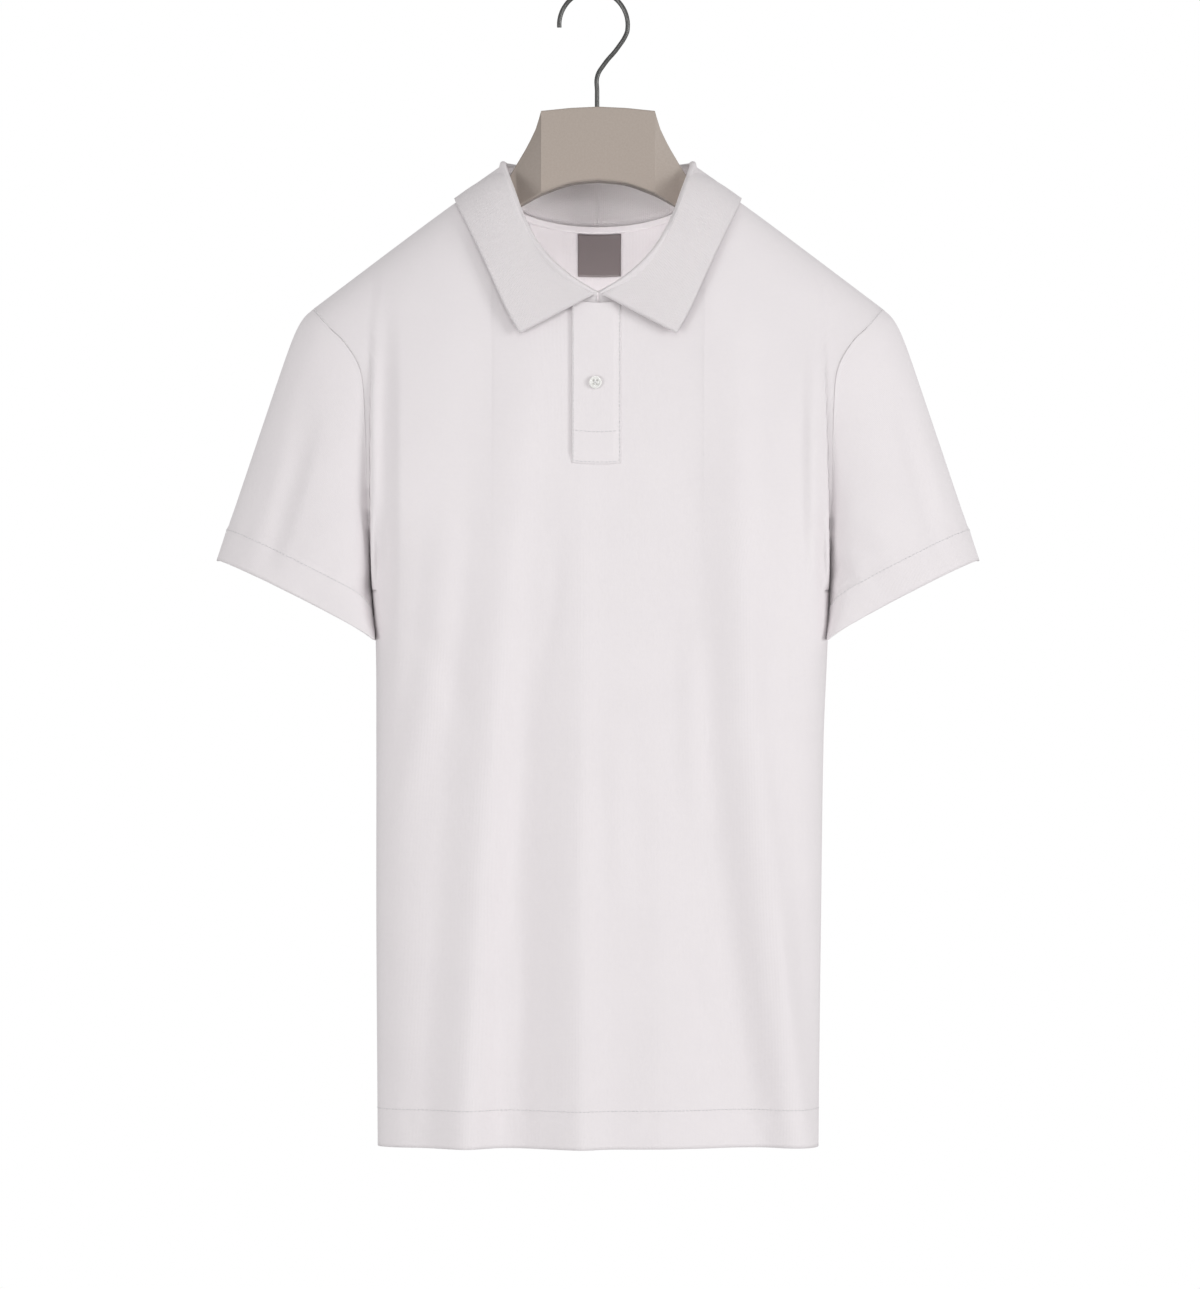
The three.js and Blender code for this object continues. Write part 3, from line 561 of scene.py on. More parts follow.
front_normals = panel_normals(front_grid, front_seams)
back_normals = panel_normals(back_grid, back_seams)
slit = np.zeros(front_grid.shape[:2], bool)
slit[slit_row:, middle - slit_columns : middle + slit_columns] = True
front_panel = cloth_wall("front", front_grid, front_normals, knit, cut=slit)
back_panel = cloth_wall("back", back_grid, back_normals, knit)

stitch_length = 2.4
stitch_step = 3.1
stitch_radius = 0.28
stitch_sides = 6
stitch_stations = np.array([0, 0.18, 0.5, 0.82, 1])
stitch_girths = np.array([0.35, 0.9, 1, 0.9, 0.35])
stitch_dip = 0.15
thread = cloth_material(
    "white thread", dark=(0.7, 0.69, 0.7), light=(0.82, 0.81, 0.815), loops=(0.0004, 0.0006), relief=0.0001
)


def tube_faces(rings, sides, base=0):
    """Faces round a tube whose points lie in rings, with a cap at each end."""
    faces = []
    for i in range(rings - 1):
        for j in range(sides):
            a, b = base + i * sides + j, base + i * sides + (j + 1) % sides
            faces.append([a, b, b + sides, a + sides])
    last = base + (rings - 1) * sides
    faces.append([base + j for j in range(sides)][::-1])
    faces.append([last + j for j in range(sides)])
    return faces


def thread_row(name, path, normals, step=stitch_step, length=stitch_length, sink=0.05):
    """A row of stitches along a path on the cloth: short rounded threads with gaps between them."""
    run = np.linalg.norm(np.diff(path, axis=0), axis=1)
    walked = np.concatenate([[0], np.cumsum(run)])
    starts = np.arange(step / 2, walked[-1] - length, step)
    girth = (stitch_girths * stitch_radius)[:, None, None]
    points, faces = [], []
    turn = 2 * np.pi * np.arange(stitch_sides) / stitch_sides
    for start in starts:
        spots = start + stitch_stations * length
        centre = np.stack([np.interp(spots, walked, path[:, k]) for k in range(3)], 1)
        out = unit(np.stack([np.interp(spots, walked, normals[:, k]) for k in range(3)], 1))
        over = unit(np.cross(unit(np.gradient(centre, axis=0)), out))
        rise = stitch_radius - sink - stitch_dip * (2 * stitch_stations - 1) ** 2
        centre = centre + out * rise[:, None]
        round_it = np.cos(turn)[None, :, None] * over[:, None] + np.sin(turn)[None, :, None] * out[:, None]
        base = len(points) * stitch_sides * len(stitch_stations)
        points.append((centre[:, None] + girth * round_it).reshape(-1, 3))
        faces += tube_faces(len(stitch_stations), stitch_sides, base)
    piece = make_mesh(name, np.concatenate(points), faces)
    piece.data.uv_layers.new(name="lay")
    piece.data.materials.append(thread)
    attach(piece, "root")
    return piece


hem_row = int(np.argmin(np.abs(front_grid[:, middle, 2] - (hem_level + hem_rise + hem_height))))
skipped = 3
for name, grid, normals, panel, height, area in (
    ("front", front_grid, front_normals, front_panel, 0.745, 0.265),
    ("back", back_grid, back_normals, back_panel, 0.755, 0.272),
):
    panel.data.materials.append(knit_cloth)
    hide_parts(f"{name}_panel")
    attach(panel, "root")
    path = (grid + normals * knit / 2)[hem_row, skipped:-skipped]
    stitches = thread_row(f"{name}_hem_stitches", path, normals[hem_row, skipped:-skipped])

# Sleeves: two short set-in sleeves of the same knit. Each is one piece, closed by a seam under the
# arm, sewn round the armhole and hemmed at its cuff. They fall from the shoulders, half flat.
cuff_top = (285.5, -426)
cuff_bottom = {-1: (166.2, -485.5), 1: (170.3, -485.5)}
cuff_depth = 43
cuff_arch = 4
cap_fullness = 8.5
cap_lift = 0.4
cap_start = 0.05
sleeve_fullness = 6
underside_box = 0.95
underside_reach = 3
widest_box = 9
seam_share = 0.8
rows_under = 2
sleeve_steps = 70
sleeve_spacing = 1.25
sleeve_radius = 60
cuff_hem = 24
radian = 57.3
sleeve_crease_width = 1.6
sleeve_crease_turn = 6
sleeve_fade_in = (-0.1, 0.4)
sleeve_fade_out = (0.7, 1.2)
seam_calm = 0.3
sleeve_creases = table(
    "turn_from turn_to part_from part_to spread rise",
    (38, 62, 0.25, 0.95, 0.16, -2.6),
    (118, 84, 0.1, 0.75, 0.2, 2.0),
    (150, 128, 0.05, 0.6, 0.16, -1.8),
    (222, 250, 0.2, 0.9, 0.2, -2.2),
    (318, 292, 0.3, 0.95, 0.18, 1.8),
)


def perpendicular(vector, axis):
    """The part of a vector that is square to an axis, as a unit."""
    return unit(vector - (vector * axis).sum(-1, keepdims=True) * axis)


def armhole_edge(hand):
    """The panels' points round an armhole, and their neighbours inwards."""
    front_column = 0 if hand < 0 else front_grid.shape[1] - 1
    back_column = front_grid.shape[1] - 1 - front_column
    inwards = 1 if hand < 0 else -1
    down = np.arange(top_row, side_steps, -1)
    up = np.arange(side_steps + 1, top_row)
    bottom = front_grid[[side_steps], front_column] * (1, 0, 1)
    under = front_grid[[side_steps - rows_under], front_column] * (1, 0, 1)
    point = np.concatenate([front_grid[down, front_column], bottom, back_grid[up, back_column]])
    in_front, behind = front_grid[down, front_column + inwards], back_grid[up, back_column - inwards]
    inner = np.concatenate([in_front, under, behind])
    point[0, 1] = inner[0, 1] = 0
    return point, inner


def make_sleeve(hand):
    """A sleeve's rings from the armhole to the cuff, with their normals."""
    point, inner = armhole_edge(hand)
    k = np.arange(len(point))
    part = (1 - np.cos(np.pi * np.abs(armhole_steps - k) / armhole_steps)) / 2
    angle = np.arccos(np.clip(2 * part - 1, -1, 1))
    angle = np.where(k <= armhole_steps, angle, 2 * np.pi - angle)
    lean = np.cos(angle) / 2
    low_x, low_z = cuff_bottom[hand]
    cuff_x = hand * ((cuff_top[0] + low_x) / 2 + (cuff_top[0] - low_x) * lean)
    cuff_z = (cuff_top[1] + low_z) / 2 + (cuff_top[1] - low_z) * lean
    cuff_z = cuff_z + cuff_arch * np.abs(np.sin(angle))
    cuff = np.stack([cuff_x, -cuff_depth * np.sin(angle), cuff_z], -1)
    cap_out = unit(np.array([hand, 0, cap_lift]))

    def sleeve_ring(w, start):
        ring = start + (cuff - start) * w
        cap = cap_fullness * (1 - w) * (1 - math.exp(-w / cap_start))
        ring = ring + cap_out * (cap * np.maximum(np.cos(angle), 0))[:, None]
        ring[:, 1] -= sleeve_fullness * math.sin(math.pi * w) * np.sin(angle)
        under = np.clip(-np.cos(angle) * underside_reach, 0, 1)
        boxed = np.abs(np.sin(angle)) ** (-underside_box * w * under)
        ring[:, 1] *= np.minimum(boxed, widest_box)
        return ring

    tangent = unit(np.roll(point, -1, 0) - np.roll(point, 1, 0))
    ahead = perpendicular(point - inner, tangent)
    start = point + ahead * (seam_gap * seam_share)
    parts = np.linspace(0, 1, sleeve_steps + 1) ** sleeve_spacing
    grid = np.stack([sleeve_ring(w, start) for w in parts])
    facing = grid[:, ::-1] if hand < 0 else grid
    normals = grid_normals(facing, ring=True)
    turn = np.degrees(angle[::-1] if hand < 0 else angle)
    relief = np.zeros(facing.shape[:2])
    for row in zip(*sleeve_creases.values()):
        turn_from, turn_to, part_from, part_to, spread, rise = row
        w = (parts - part_from) / (part_to - part_from)
        place = turn_from + (turn_to - turn_from) * w[:, None] - sleeve_crease_turn * hand
        fade = smooth_step(*sleeve_fade_in, w) * (1 - smooth_step(*sleeve_fade_out, w))
        relief += rise * fade[:, None] * bell((turn - place) / radian, spread * sleeve_crease_width)
    left = np.linalg.norm(facing[-1] - facing, axis=-1)
    around = turn / radian * sleeve_radius
    relief += hem_relief(around, left) - hem_thick
    relief[:2] *= seam_calm
    facing = facing + normals * relief[..., None]
    return facing, grid_normals(facing, ring=True)


for name, hand in (("left", -1), ("right", 1)):
    grid, normals = make_sleeve(hand)
    sleeve = cloth_wall(f"sleeve_{name}_cloth", grid, normals, knit, ring=True)
    sleeve.data.materials.append(knit_cloth)
    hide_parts(f"sleeve_{name}")
    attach(sleeve, "root")
    left = np.linalg.norm(grid[-1] - grid, axis=-1)
    row = np.argmin(np.abs(left - cuff_hem), axis=0)
    spots = np.arange(grid.shape[1])
    path = [[np.interp(cuff_hem, left[::-1, j], grid[::-1, j, axis]) for j in spots] for axis in range(3)]
    path, out = np.transpose(path), normals[row, spots]
    path, out = np.vstack([path, path[:1]]), np.vstack([out, out[:1]])
    line = thread_row(f"sleeve_{name}_stitches", path + out * knit / 2, out)

# Collar: one flat strip of rib knit with finished edges, sewn to the neckline. It stands up from the
# seam, folds over and falls as the leaf, with a point at each front end.
rib = 1.8
fold_radius = 1.6
leaf_gap = 0.9
collar_shape = table(
    "turn fold_x fold_y fold_z leaf_x leaf_z lift",
    (0, 1.1, -49.5, -228.2, 58, -259.5, 4.0),
    (22.5, 22, -49.5, -214.8, 68.5, -240, 3.4),
    (45, 41, -43.5, -196, 80, -214, 2.6),
    (67.5, 55.5, -33, -171, 94.5, -182, 2.6),
    (80, 64, -20, -148, 103.5, -163, 3.0),
    (90, 71, -3, -128.5, 106.3, -154.5, 2.7),
    (100, 69, 10, -127.5, 103.8, -161, 3.0),
    (112.5, 62, 20, -127.5, 96, -170, 2.6),
    (135, 46, 30, -128, 68, -180, 2.6),
    (157.5, 24, 36, -129, 34, -184, 2.6),
    (180, 0, 38, -129.5, 0, -185, 2.6),
)
collar_step = 1.25
collar_look = 4
stand_bulge = 1.2
stand_parts = 9
fold_parts = 8
leaf_parts = 26
front_end = 0.06
end_gap = 0.1
leaf_side = 0.5
side_limit = 0.98
lift_rounds = 8
lift_step = 0.1


def body_deep(is_front, z):
    """How deep the body is on one side at a level."""
    return np.where(is_front, read(body_depth, "front", z), read(body_depth, "back", z))


def stand_off(points):
    """How far points stand out from the body below the collar, as a share of its depth."""
    x, y, z = points.T
    deep = body_deep(y < 0, z) * crossing(np.minimum(np.abs(x) / body_half, side_limit))
    left = 1 - np.minimum((ridge(x) - z) / shoulder_depth, 1)
    return (y / deep) ** 2 + left * left - 1


def lift_clear(points, lift):
    """Points moved straight out of the body until they lie clear of it."""
    for _ in range(lift_rounds):
        here = stand_off(points)
        rise = [stand_off(points + lift_step * axis) - here for axis in np.eye(3)]
        slope = np.stack(rise, -1) / lift_step
        size = np.linalg.norm(slope, axis=-1)
        short = np.maximum(lift - here / size, 0)
        points = points + slope / size[:, None] * short[:, None]
    return points


def collar_half(hand):
    """Half of the collar, from the neck seam up the stand, over the fold and down the leaf."""
    turns = np.concatenate([[front_end], np.arange(collar_step * 2, 180, collar_step), [180]])
    is_front = turns < 90
    s = hand * neck_edge * np.sin(np.radians(turns))
    seam = np.empty((len(turns), 3))
    for side, chosen in ((-1, is_front), (1, ~is_front)):
        top = panel_top(side, s[chosen])
        seam[chosen] = body_point(side, s[chosen], top, creased=False)

    def column(name, at=turns):
        return read(collar_shape, name, at, "turn")

    def fold_line(at):
        return np.stack([hand * column("fold_x", at), column("fold_y", at), column("fold_z", at)], -1)

    fold = fold_line(turns)
    fold[0, 0] = hand * end_gap
    run = unit(fold_line(turns + collar_look) - fold_line(turns - collar_look))
    out = unit(np.stack([-hand * run[:, 1], hand * run[:, 0], 0 * turns], -1))
    out[-1] = (0, 1, 0)
    up = unit(np.cross(run, out))
    up *= np.where(up[:, 2:] < 0, -1, 1)
    centre = fold - up * fold_radius
    inside = centre - out * fold_radius
    section = []
    for t in np.linspace(0, 1, stand_parts)[:-1]:
        bulge = out * stand_bulge * math.sin(math.pi * t)
        section.append(seam + (inside - seam) * t + bulge)
    for a in np.linspace(math.pi, 0, fold_parts):
        section.append(centre + out * fold_radius * math.cos(a) + up * fold_radius * math.sin(a))
    outside = section[-1]
    edge_x, edge_z = hand * column("leaf_x"), column("leaf_z")
    side = np.where(is_front, -1, 1)
    flat = body_deep(is_front, edge_z) * crossing(np.abs(edge_x) / body_half)
    drop = ridge(edge_x) - edge_z
    edge_y = np.where(drop > 0, side * flat * fullness(drop), side * leaf_side)
    lift = column("lift")
    leaf_edge = lift_clear(np.stack([edge_x, edge_y, edge_z], -1), lift)
    for t in np.linspace(0, 1, leaf_parts + 1)[1:]:
        section.append(lift_clear(outside + (leaf_edge - outside) * t, lift + leaf_gap * (1 - t)))
    return np.stack(section)


collar_grid = np.concatenate([collar_half(-1), collar_half(1)[:, -2::-1]], 1)
collar = cloth_wall("collar_rib", collar_grid, grid_normals(collar_grid), rib)
rib_knit = cloth_material(
    "white rib knit",
    dark=(0.775, 0.735, 0.748),
    light=(0.835, 0.795, 0.807),
    loops=(0.0016, 0.0012),
    relief=0.0004,
    strength=0.7,
    matt=0.95,
    gloss=0.15,
    sheen=0.2,
)
collar.data.materials.append(rib_knit)
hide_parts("collar")
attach(collar, "root")

# Placket: a doubled band of the body knit down the front opening, its right edge stitched to the
# front, with a second band under it in the slit. A box of stitches closes its foot.
band = 1.4
lay_gap = 0.4
placket_left = -19.5
placket_right = 17
placket_points = (90, 30)
placket_top_gap = 0.3
sewn_depth = 1.5
sewn_right_from = 0.82
sewn_foot_to = 0.05
cross_row = 12
under_points = (60, 16)
under_gap = 0.15
under_foot_gap = 0.1


def on_grid(grid, i, j):
    """Points of a grid at fractional places."""
    i0 = np.clip(np.floor(i).astype(int), 0, grid.shape[0] - 2)
    j0 = np.clip(np.floor(j).astype(int), 0, grid.shape[1] - 2)
    u, v = (i - i0)[..., None], (j - j0)[..., None]
    low = grid[i0, j0] * (1 - v) + grid[i0, j0 + 1] * v
    high = grid[i0 + 1, j0] * (1 - v) + grid[i0 + 1, j0 + 1] * v
    return low * (1 - u) + high * u


def column_at(grid, row, x):
    """Where a row of a grid passes x, as a fractional column."""
    spots = np.arange(grid.shape[1])
    order = np.argsort(grid[row, :, 0])
    return np.interp(x, grid[row, order, 0], spots[order])


def row_at(grid, column, z):
    return np.interp(z, grid[:, round(float(column)), 2], np.arange(grid.shape[0]))


def lay_on(grid, normals, rows, columns, lift):
    """A smaller grid laid on a panel, lifted off the middle of its cloth."""
    i, j = np.meshgrid(rows, columns, indexing="ij")
    return on_grid(grid, i, j) + unit(on_grid(normals, i, j)) * lift


foot_row = row_at(front_grid, middle, placket_foot)
left_column = column_at(front_grid, slit_row, placket_left)
right_column = column_at(front_grid, slit_row, placket_right)
placket_rows = np.linspace(foot_row, top_row - placket_top_gap, placket_points[0])
placket_cols = np.linspace(left_column, right_column, placket_points[1])
placket_lift = knit / 2 + lay_gap + band / 2
sewn_right = smooth_step(sewn_right_from, 1, np.linspace(0, 1, placket_points[1]))[None, :]
sewn_foot = 1 - smooth_step(0, sewn_foot_to, np.linspace(0, 1, placket_points[0]))[:, None]
sunk = (sewn_depth * np.maximum(sewn_right, sewn_foot))[..., None]
placket_grid = lay_on(front_grid, front_normals, placket_rows, placket_cols, placket_lift)
placket_grid = placket_grid - grid_normals(placket_grid) * sunk
placket_out = grid_normals(placket_grid)
placket = cloth_wall("placket_band", placket_grid, placket_out, band)
placket.data.materials.append(knit_cloth)
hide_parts("placket_upper")
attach(placket, "root")
placket_face = placket_grid + placket_out * band / 2
for label, line in (
    ("left", np.s_[:, 1]),
    ("right", np.s_[:, -2]),
    ("foot", np.s_[1, 1:-1]),
    ("cross", np.s_[cross_row, 1:-1]),
):
    thread_row(f"placket_{label}_stitches", placket_face[line], placket_out[line])

under_rows = np.linspace(slit_row + under_foot_gap, top_row, under_points[0])
under_half = slit_columns - under_gap
under_cols = np.linspace(middle - under_half, middle + under_half, under_points[1])
under_grid = lay_on(front_grid, front_normals, under_rows, under_cols, 0)
under_band = cloth_wall("placket_under_band", under_grid, grid_normals(under_grid), knit)
under_band.data.materials.append(knit_cloth)
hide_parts("placket_under")
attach(under_band, "root")

# Button: one pearly plastic button with a raised rim and four holes, sewn to the placket with white
# thread in a cross.
button_radius = 4.8
button_thickness = 2.2
hole_radius = 0.8
hole_spread = 1.3
button_across = -2
button_level = -295.5
button_rings = 42
button_sides = 72
button_centre = 0.02
well_depth = 0.55
well_edge = (0.55, 0.78)
rim_depth = 0.9
rim_from = 0.86
hole_depth = 1.1
hole_edge = (0.6, 1.1)
foot_share = 0.9
foot_lift = 0.05
button_row = row_at(front_grid, middle, button_level)
button_column = column_at(front_grid, round(float(button_row)), button_across)
spot = np.array([button_row]), np.array([button_column])
button_out = unit(on_grid(front_normals, *spot))[0]
button_base = on_grid(front_grid, *spot)[0] + button_out * (placket_lift + band / 2 + lay_gap)
button_over = perpendicular(np.array([1.0, 0, 0]), button_out)
button_up = np.cross(button_over, button_out)


def make_button():
    """Rings from the middle out over the rim, and one more round the foot."""
    radii = button_radius * np.linspace(button_centre, 1, button_rings)
    turns = 2 * np.pi * np.arange(button_sides) / button_sides
    r, turn = np.meshgrid(radii, turns, indexing="ij")
    a, b = r * np.cos(turn), r * np.sin(turn)
    near = r / button_radius
    height = button_thickness - well_depth * (1 - smooth_step(*well_edge, near))
    height = height - rim_depth * smooth_step(rim_from, 1, near) ** 2
    for x, y in ((1, 1), (-1, 1), (-1, -1), (1, -1)):
        away = np.hypot(a - x * hole_spread, b - y * hole_spread) / hole_radius
        height = height - hole_depth * (1 - smooth_step(*hole_edge, away))
    axes = np.stack([button_over, button_up, button_out])
    top = np.stack([a, b, height], -1).reshape(-1, 3)
    foot = np.stack([a[-1] * foot_share, b[-1] * foot_share, np.full(button_sides, foot_lift)], -1)
    faces = [face[::-1] for face in tube_faces(button_rings + 1, button_sides)]
    return make_mesh("button_disc", button_base + np.concatenate([top, foot]) @ axes, faces)


button = make_button()
pearl, tree, shader = new_material("pearly plastic")
swirl = tree.nodes.new("ShaderNodeTexNoise")
swirl.inputs["Scale"].default_value = 260
swirl.inputs["Distortion"].default_value = 2.5
pearl_colour = shades(tree, swirl.outputs[0], dark=(0.72, 0.71, 0.69), light=(0.86, 0.86, 0.83))
tree.links.new(pearl_colour, shader.inputs["Base Color"])
shader.inputs["Roughness"].default_value = 0.2
shader.inputs["Coat Weight"].default_value = 0.5
button.data.materials.append(pearl)
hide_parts("button")
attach(button, "root")
cross_height = button_thickness - 0.45
cross_length = 3.4
cross_points = np.linspace(-hole_spread, hole_spread, 9)[:, None]
for number, lean in ((1, 1), (2, -1)):
    path = button_base + cross_points * (lean * button_over + button_up) + button_out * cross_height
    out = np.repeat(button_out[None], len(path), 0)
    thread_row(f"button_thread_{number}", path, out, step=0.2, length=cross_length, sink=0.1)

# Neck tape and label: a strip of knit tape covers the back neck seam inside, and a dark satin label
# is sewn below it. The label is bare.
trim = 1.0
label_left = -15.3
label_right = 17.3
label_top = -178.5
label_foot = -210
label_thickness = 0.6
label_points = 24
label_rows_below = 12
tape_height = 5
tape_points = (7, 60)
tape_inset = 16
tape_top_gap = 0.2
inside_lift = -(knit / 2 + lay_gap + trim / 2)
label_levels = [row_at(back_grid, middle, z) for z in (label_foot, label_top)]
label_ends = [column_at(back_grid, top_row - label_rows_below, x) for x in (label_right, label_left)]
label_rows = np.linspace(*label_levels, label_points)
label_cols = np.linspace(*label_ends, label_points)
label_grid = lay_on(back_grid, back_normals, label_rows, label_cols, inside_lift)
label = cloth_wall("label", label_grid, grid_normals(label_grid), label_thickness)
tape_foot = row_at(back_grid, middle, back_grid[top_row, middle, 2] - tape_height)
tape_rows = np.linspace(tape_foot, top_row - tape_top_gap, tape_points[0])
tape_cols = np.linspace(wing_steps + tape_inset, wing_steps + neck_steps - tape_inset, tape_points[1])
tape_grid = lay_on(back_grid, back_normals, tape_rows, tape_cols, inside_lift)
tape = cloth_wall("tape", tape_grid, grid_normals(tape_grid), trim)
satin, tree, shader = new_material("dark satin")
weave = tree.nodes.new("ShaderNodeTexWave")
weave.inputs["Scale"].default_value = 900
weave.inputs["Distortion"].default_value = 1.5
place = tree.nodes.new("ShaderNodeTexCoord")
tree.links.new(place.outputs["Object"], weave.inputs["Vector"])
satin_colour = shades(tree, weave.outputs[0], dark=(0.15, 0.122, 0.122), light=(0.22, 0.185, 0.185))
tree.links.new(satin_colour, shader.inputs["Base Color"])
relief_on(tree, shader, weave.outputs[0], strength=0.3, distance=0.0001)
shader.inputs["Roughness"].default_value = 0.38
shader.inputs["Sheen Weight"].default_value = 0.3
label.data.materials.append(satin)
tape.data.materials.append(knit_cloth)
for piece, node in ((label, "neck_label"), (tape, "neck_tape")):
    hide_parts(node)
    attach(piece, "root")

# Hanger: moulded taupe plastic, broad and flat in the middle, with facets that fall back to two
# sloping arms. It is left as it was moulded, matt and plain. Its colour also carries painted shade on the
# left facet and the rounded under edge.
taupe, tree, shader = new_material("taupe plastic")
grain = noise(tree, scale=700, detail=3)
taupe_colour = shades(tree, grain, dark=(0.35, 0.295, 0.255), light=(0.42, 0.36, 0.315))
facing = tree.nodes.new("ShaderNodeNewGeometry")
facing_parts = tree.nodes.new("ShaderNodeSeparateXYZ")
tree.links.new(facing.outputs["Normal"], facing_parts.inputs[0])
# Painted shade: the colour is darkened where the left facet and the rounded under edge turn away from the
# light, so they look darker than the flat front
for axis, dark_at, light_at, darkest in (("X", -0.22, -0.12, 0.76), ("Z", -0.85, -0.1, 0.4)):
    # Each pass multiplies the colour by painted shade, chosen by which way the surface faces
    painted_shade_range = tree.nodes.new("ShaderNodeMapRange")
    tree.links.new(facing_parts.outputs[axis], painted_shade_range.inputs["Value"])
    painted_shade_range.inputs["From Min"].default_value = dark_at
    painted_shade_range.inputs["From Max"].default_value = light_at
    painted_shade_range.inputs["To Min"].default_value = darkest
    painted_shade_scale = tree.nodes.new("ShaderNodeVectorMath")
    painted_shade_scale.operation = "SCALE"
    tree.links.new(taupe_colour, painted_shade_scale.inputs[0])
    tree.links.new(painted_shade_range.outputs[0], painted_shade_scale.inputs["Scale"])
    taupe_colour = painted_shade_scale.outputs[0]
# From here on the taupe colour carries the painted shade of the left facet and the under edge
tree.links.new(taupe_colour, shader.inputs["Base Color"])
relief_on(tree, shader, grain, strength=0.25, distance=0.0002)
shader.inputs["Roughness"].default_value = 0.5
hanger_shape = table(
    "x top under",
    (0, -86, -141.8),
    (21, -87, -144.2),
    (42.6, -89.2, -151.9),
    (44.3, -95.3, -152.9),
    (46.7, -102.8, -154.2),
    (50.3, -110.3, -156.3),
    (54.3, -117.8, -158.6),
    (59.3, -126, -161.7),
    (65, -135.5, -165.5),
    (72, -144.8, -170.5),
    (82, -149.4, -175.5),
)
facet_edge = 42.6
arm_end = 196
arm_start = 82
arm_drop = 2.1
arm_heights = (25, 15)
hanger_depth = table("x half", (0, 8.5), (facet_edge, 8.5), (61, 3.6), (arm_start, 3.4), (arm_end, 3.4))
hanger_corners = ((1, 1, 0, 1.3), (-1, 1, 90, 1.3), (-1, -1, 180, 2.4), (1, -1, 270, 2.4))
corner_steps = 6
corner_share = 0.8
end_taper = 4
end_closing = 0.97
end_thinning = 5
plate_steps = 16
facet_steps = 30
arm_steps = 40
end_steps = 7


def hanger_section(x):
    """The outline across the hanger at x, with rounded corners."""
    out = abs(x)
    top = np.interp(out, hanger_shape["x"], hanger_shape["top"])
    under = read(hanger_shape, "under", out, "x")
    if out > arm_start:
        part = (out - arm_start) / (arm_end - arm_start)
        top = ridge(x) - arm_drop
        under = top - arm_heights[0] - (arm_heights[1] - arm_heights[0]) * part
    half = np.interp(out, hanger_depth["x"], hanger_depth["half"])
    near_end = np.clip((out - arm_end + end_taper) / end_taper, 0, end_closing)
    closing = end_taper * (1 - math.sqrt(1 - near_end**2))
    top, under = top - closing, under + closing
    half -= closing * half / end_thinning
    ring = []
    for over, up, start, radius in hanger_corners:
        radius = min(radius, half * corner_share)
        for turn in np.radians(start + np.linspace(0, 90, corner_steps)):
            y = over * (half - radius) + radius * math.cos(turn)
            z = (top if up > 0 else under) - up * radius + radius * math.sin(turn)
            ring.append((x, y, z))
    return ring


steps_out = [np.linspace(0, facet_edge, plate_steps)]
steps_out.append(np.linspace(facet_edge, arm_start, facet_steps)[1:])
steps_out.append(np.linspace(arm_start, arm_end - end_taper, arm_steps)[1:])
steps_out.append(arm_end - end_taper * (1 - np.sin(np.linspace(0, math.pi / 2, end_steps)[1:])))
steps_out = np.concatenate(steps_out)
hanger_rings = [hanger_section(x) for x in np.concatenate([-steps_out[:0:-1], steps_out])]
hanger_faces = tube_faces(len(hanger_rings), len(hanger_rings[0]))
hanger = make_mesh("hanger_plate", np.concatenate(hanger_rings), hanger_faces)
same_place = 0.01
for edge in hanger.data.edges:
    ends = [abs(hanger.data.vertices[v].co.x / mm - middle_line) for v in edge.vertices]
    edge.use_edge_sharp = max(abs(end - facet_edge) for end in ends) < same_place
hanger.data.materials.append(taupe)
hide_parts("hanger_body")
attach(hanger, "root")

# Hook: a length of dark drawn steel wire. It is bent round to go over a rail, comes back to the
# middle on a slant and is set upright into the top of the hanger.
wire_radius = 1.7
hook_radius = 25.7
hook_centre = (-3.4, -hook_radius + wire_radius)
hook_angles = (-12, 184)
hook_knots = 28
stem = [(-0.7, -85.7), (-0.7, -74), (-0.5, -62.5), (5, -53), (14.5, -41.5)]
hook_turn = np.radians(np.linspace(*hook_angles, hook_knots))
round_part = np.stack([np.cos(hook_turn), np.sin(hook_turn)], -1) * hook_radius + hook_centre
wire_path = np.concatenate([stem, round_part])
wire_curve = bpy.data.curves.new("wire", "CURVE")
wire_curve.dimensions = "3D"
wire_curve.bevel_depth = wire_radius * mm
wire_curve.bevel_resolution = 8
wire_curve.use_fill_caps = True
spline = wire_curve.splines.new("BEZIER")
spline.bezier_points.add(len(wire_path) - 1)
for knot, (x, z) in zip(spline.bezier_points, wire_path):
    knot.co = ((x + middle_line) * mm, 0, z * mm)
    knot.handle_left_type = knot.handle_right_type = "AUTO"
hook = bpy.data.objects.new("wire_hook", wire_curve)
scene.collection.objects.link(hook)
steel, tree, shader = new_material("dark steel")
drawn = noise(tree, scale=500, detail=2)
steel_colour = shades(tree, drawn, dark=(0.1, 0.1, 0.098), light=(0.12, 0.12, 0.117))
tree.links.new(steel_colour, shader.inputs["Base Color"])
shader.inputs["Metallic"].default_value = 0.85
shader.inputs["Roughness"].default_value = 0.35
wire_curve.materials.append(steel)
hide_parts("hanger_hook")
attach(hook, "root")

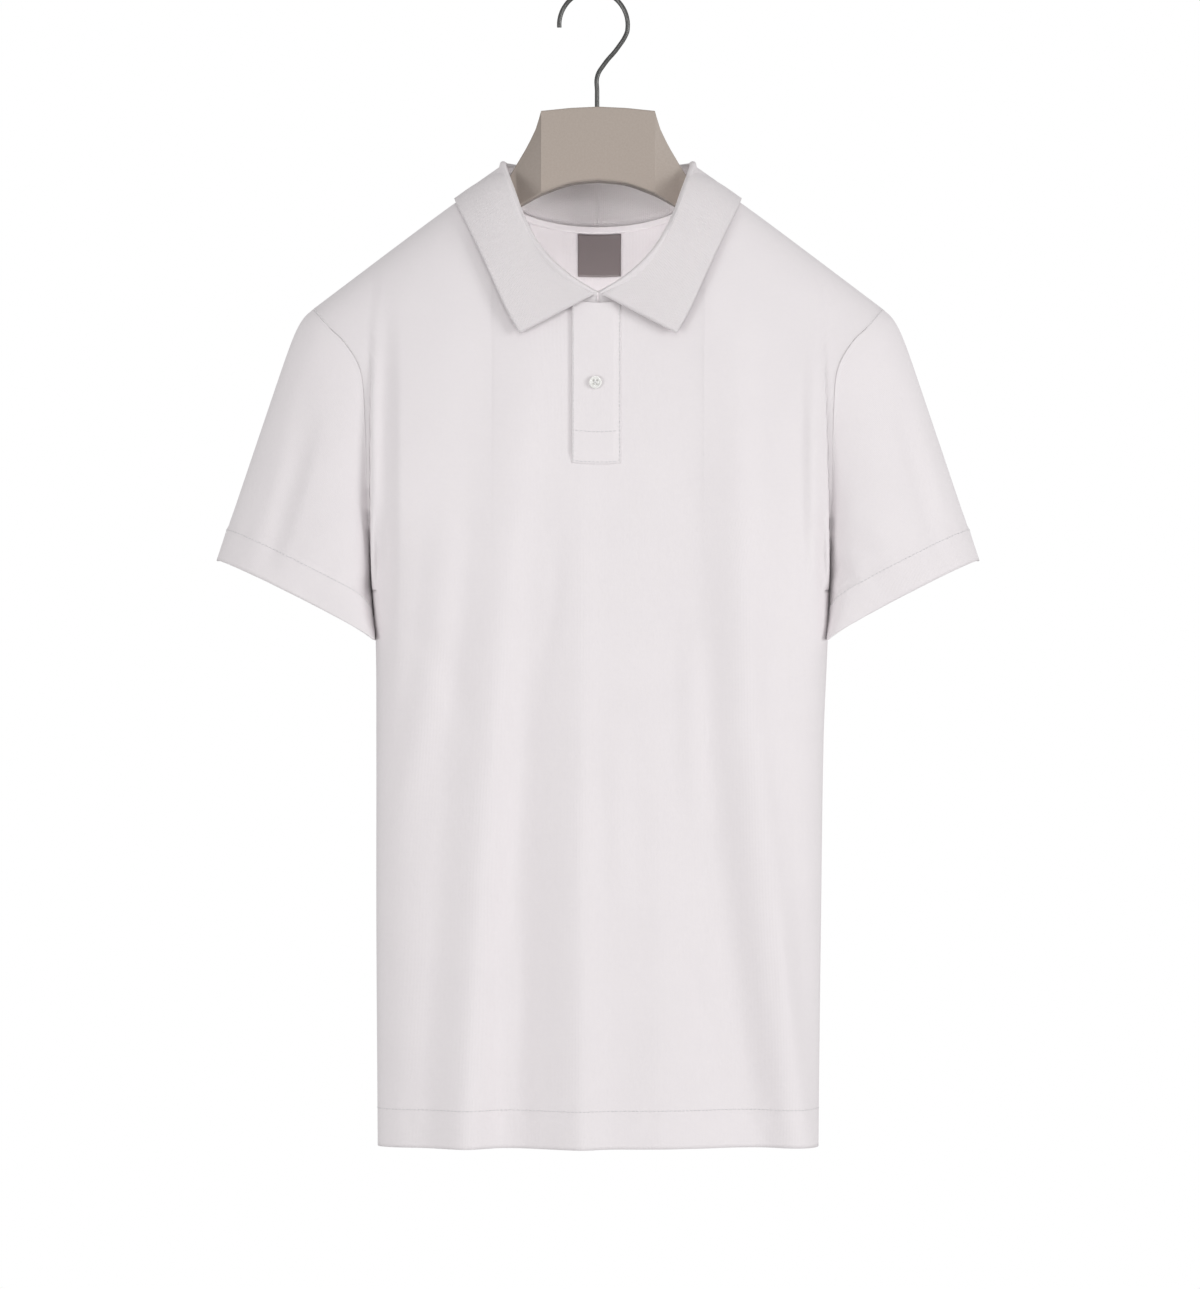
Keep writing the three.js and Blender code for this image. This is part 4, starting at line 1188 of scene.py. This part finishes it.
# Studio: a plain pale floor in white air, a soft key light from the front right, a weaker one
# from the front left, a small one that reaches into the neck and one inside the shirt for the light
# that comes through its thin back.
floor_level = -1.3
floor_reach = 2.2
floor_sides = 96
pale, tree, shader = new_material("pale floor")
shader.inputs["Base Color"].default_value = (0.9, 0.9, 0.9, 1)
shader.inputs["Roughness"].default_value = 1
shader.inputs["Emission Color"].default_value = (1, 1, 1, 1)
seen = tree.nodes.new("ShaderNodeLightPath")
tree.links.new(seen.outputs["Is Camera Ray"], shader.inputs["Emission Strength"])
floor_turn = 2 * np.pi * np.arange(floor_sides) / floor_sides
rim = [(floor_reach * math.cos(a), floor_reach * math.sin(a), floor_level) for a in floor_turn]
floor_mesh = bpy.data.meshes.new("floor")
floor_mesh.from_pydata(rim, [], [list(range(floor_sides))])
floor_mesh.materials.append(pale)
floor = bpy.data.objects.new("floor", floor_mesh)
scene.collection.objects.link(floor)

world = bpy.data.worlds.new("studio")
world.use_nodes = True
air = world.node_tree.nodes["Background"]
air.inputs["Color"].default_value = (1, 1, 1, 1)
air_light = 0.52
tree = world.node_tree
seen = tree.nodes.new("ShaderNodeLightPath")
added = math_node(tree, "MULTIPLY", seen.outputs["Is Camera Ray"], 1 - air_light)
tree.links.new(math_node(tree, "ADD", added, air_light), air.inputs["Strength"])
scene.world = world


def soft_light(name, place, size, power, aim_level):
    """A rectangular lamp, its place and size in metres, aimed at a level of the middle line."""
    light = bpy.data.lights.new(name, "AREA")
    light.shape = "RECTANGLE"
    light.size, light.size_y = size
    light.energy = power
    lamp = bpy.data.objects.new(name, light)
    lamp.location = place
    aim = np.array([0, 0, aim_level]) - place
    tilt = math.acos(-aim[2] / np.linalg.norm(aim))
    lamp.rotation_euler = (tilt, 0, math.atan2(aim[1], aim[0]) - math.pi / 2)
    scene.collection.objects.link(lamp)


soft_light("key", (3.3, -2.2, -0.1), (1.4, 1.8), 60, picture_middle[1])
soft_light("fill", (-3.0, -3.4, -0.9), (1.8, 1.4), 54, picture_middle[1])
soft_light("neck", (0.1, -1.6, 0.3), (0.3, 0.3), 2.5, -0.16)
soft_light("inside", (0, -0.01, -0.3), (0.16, 0.06), 0.12, 0.1)
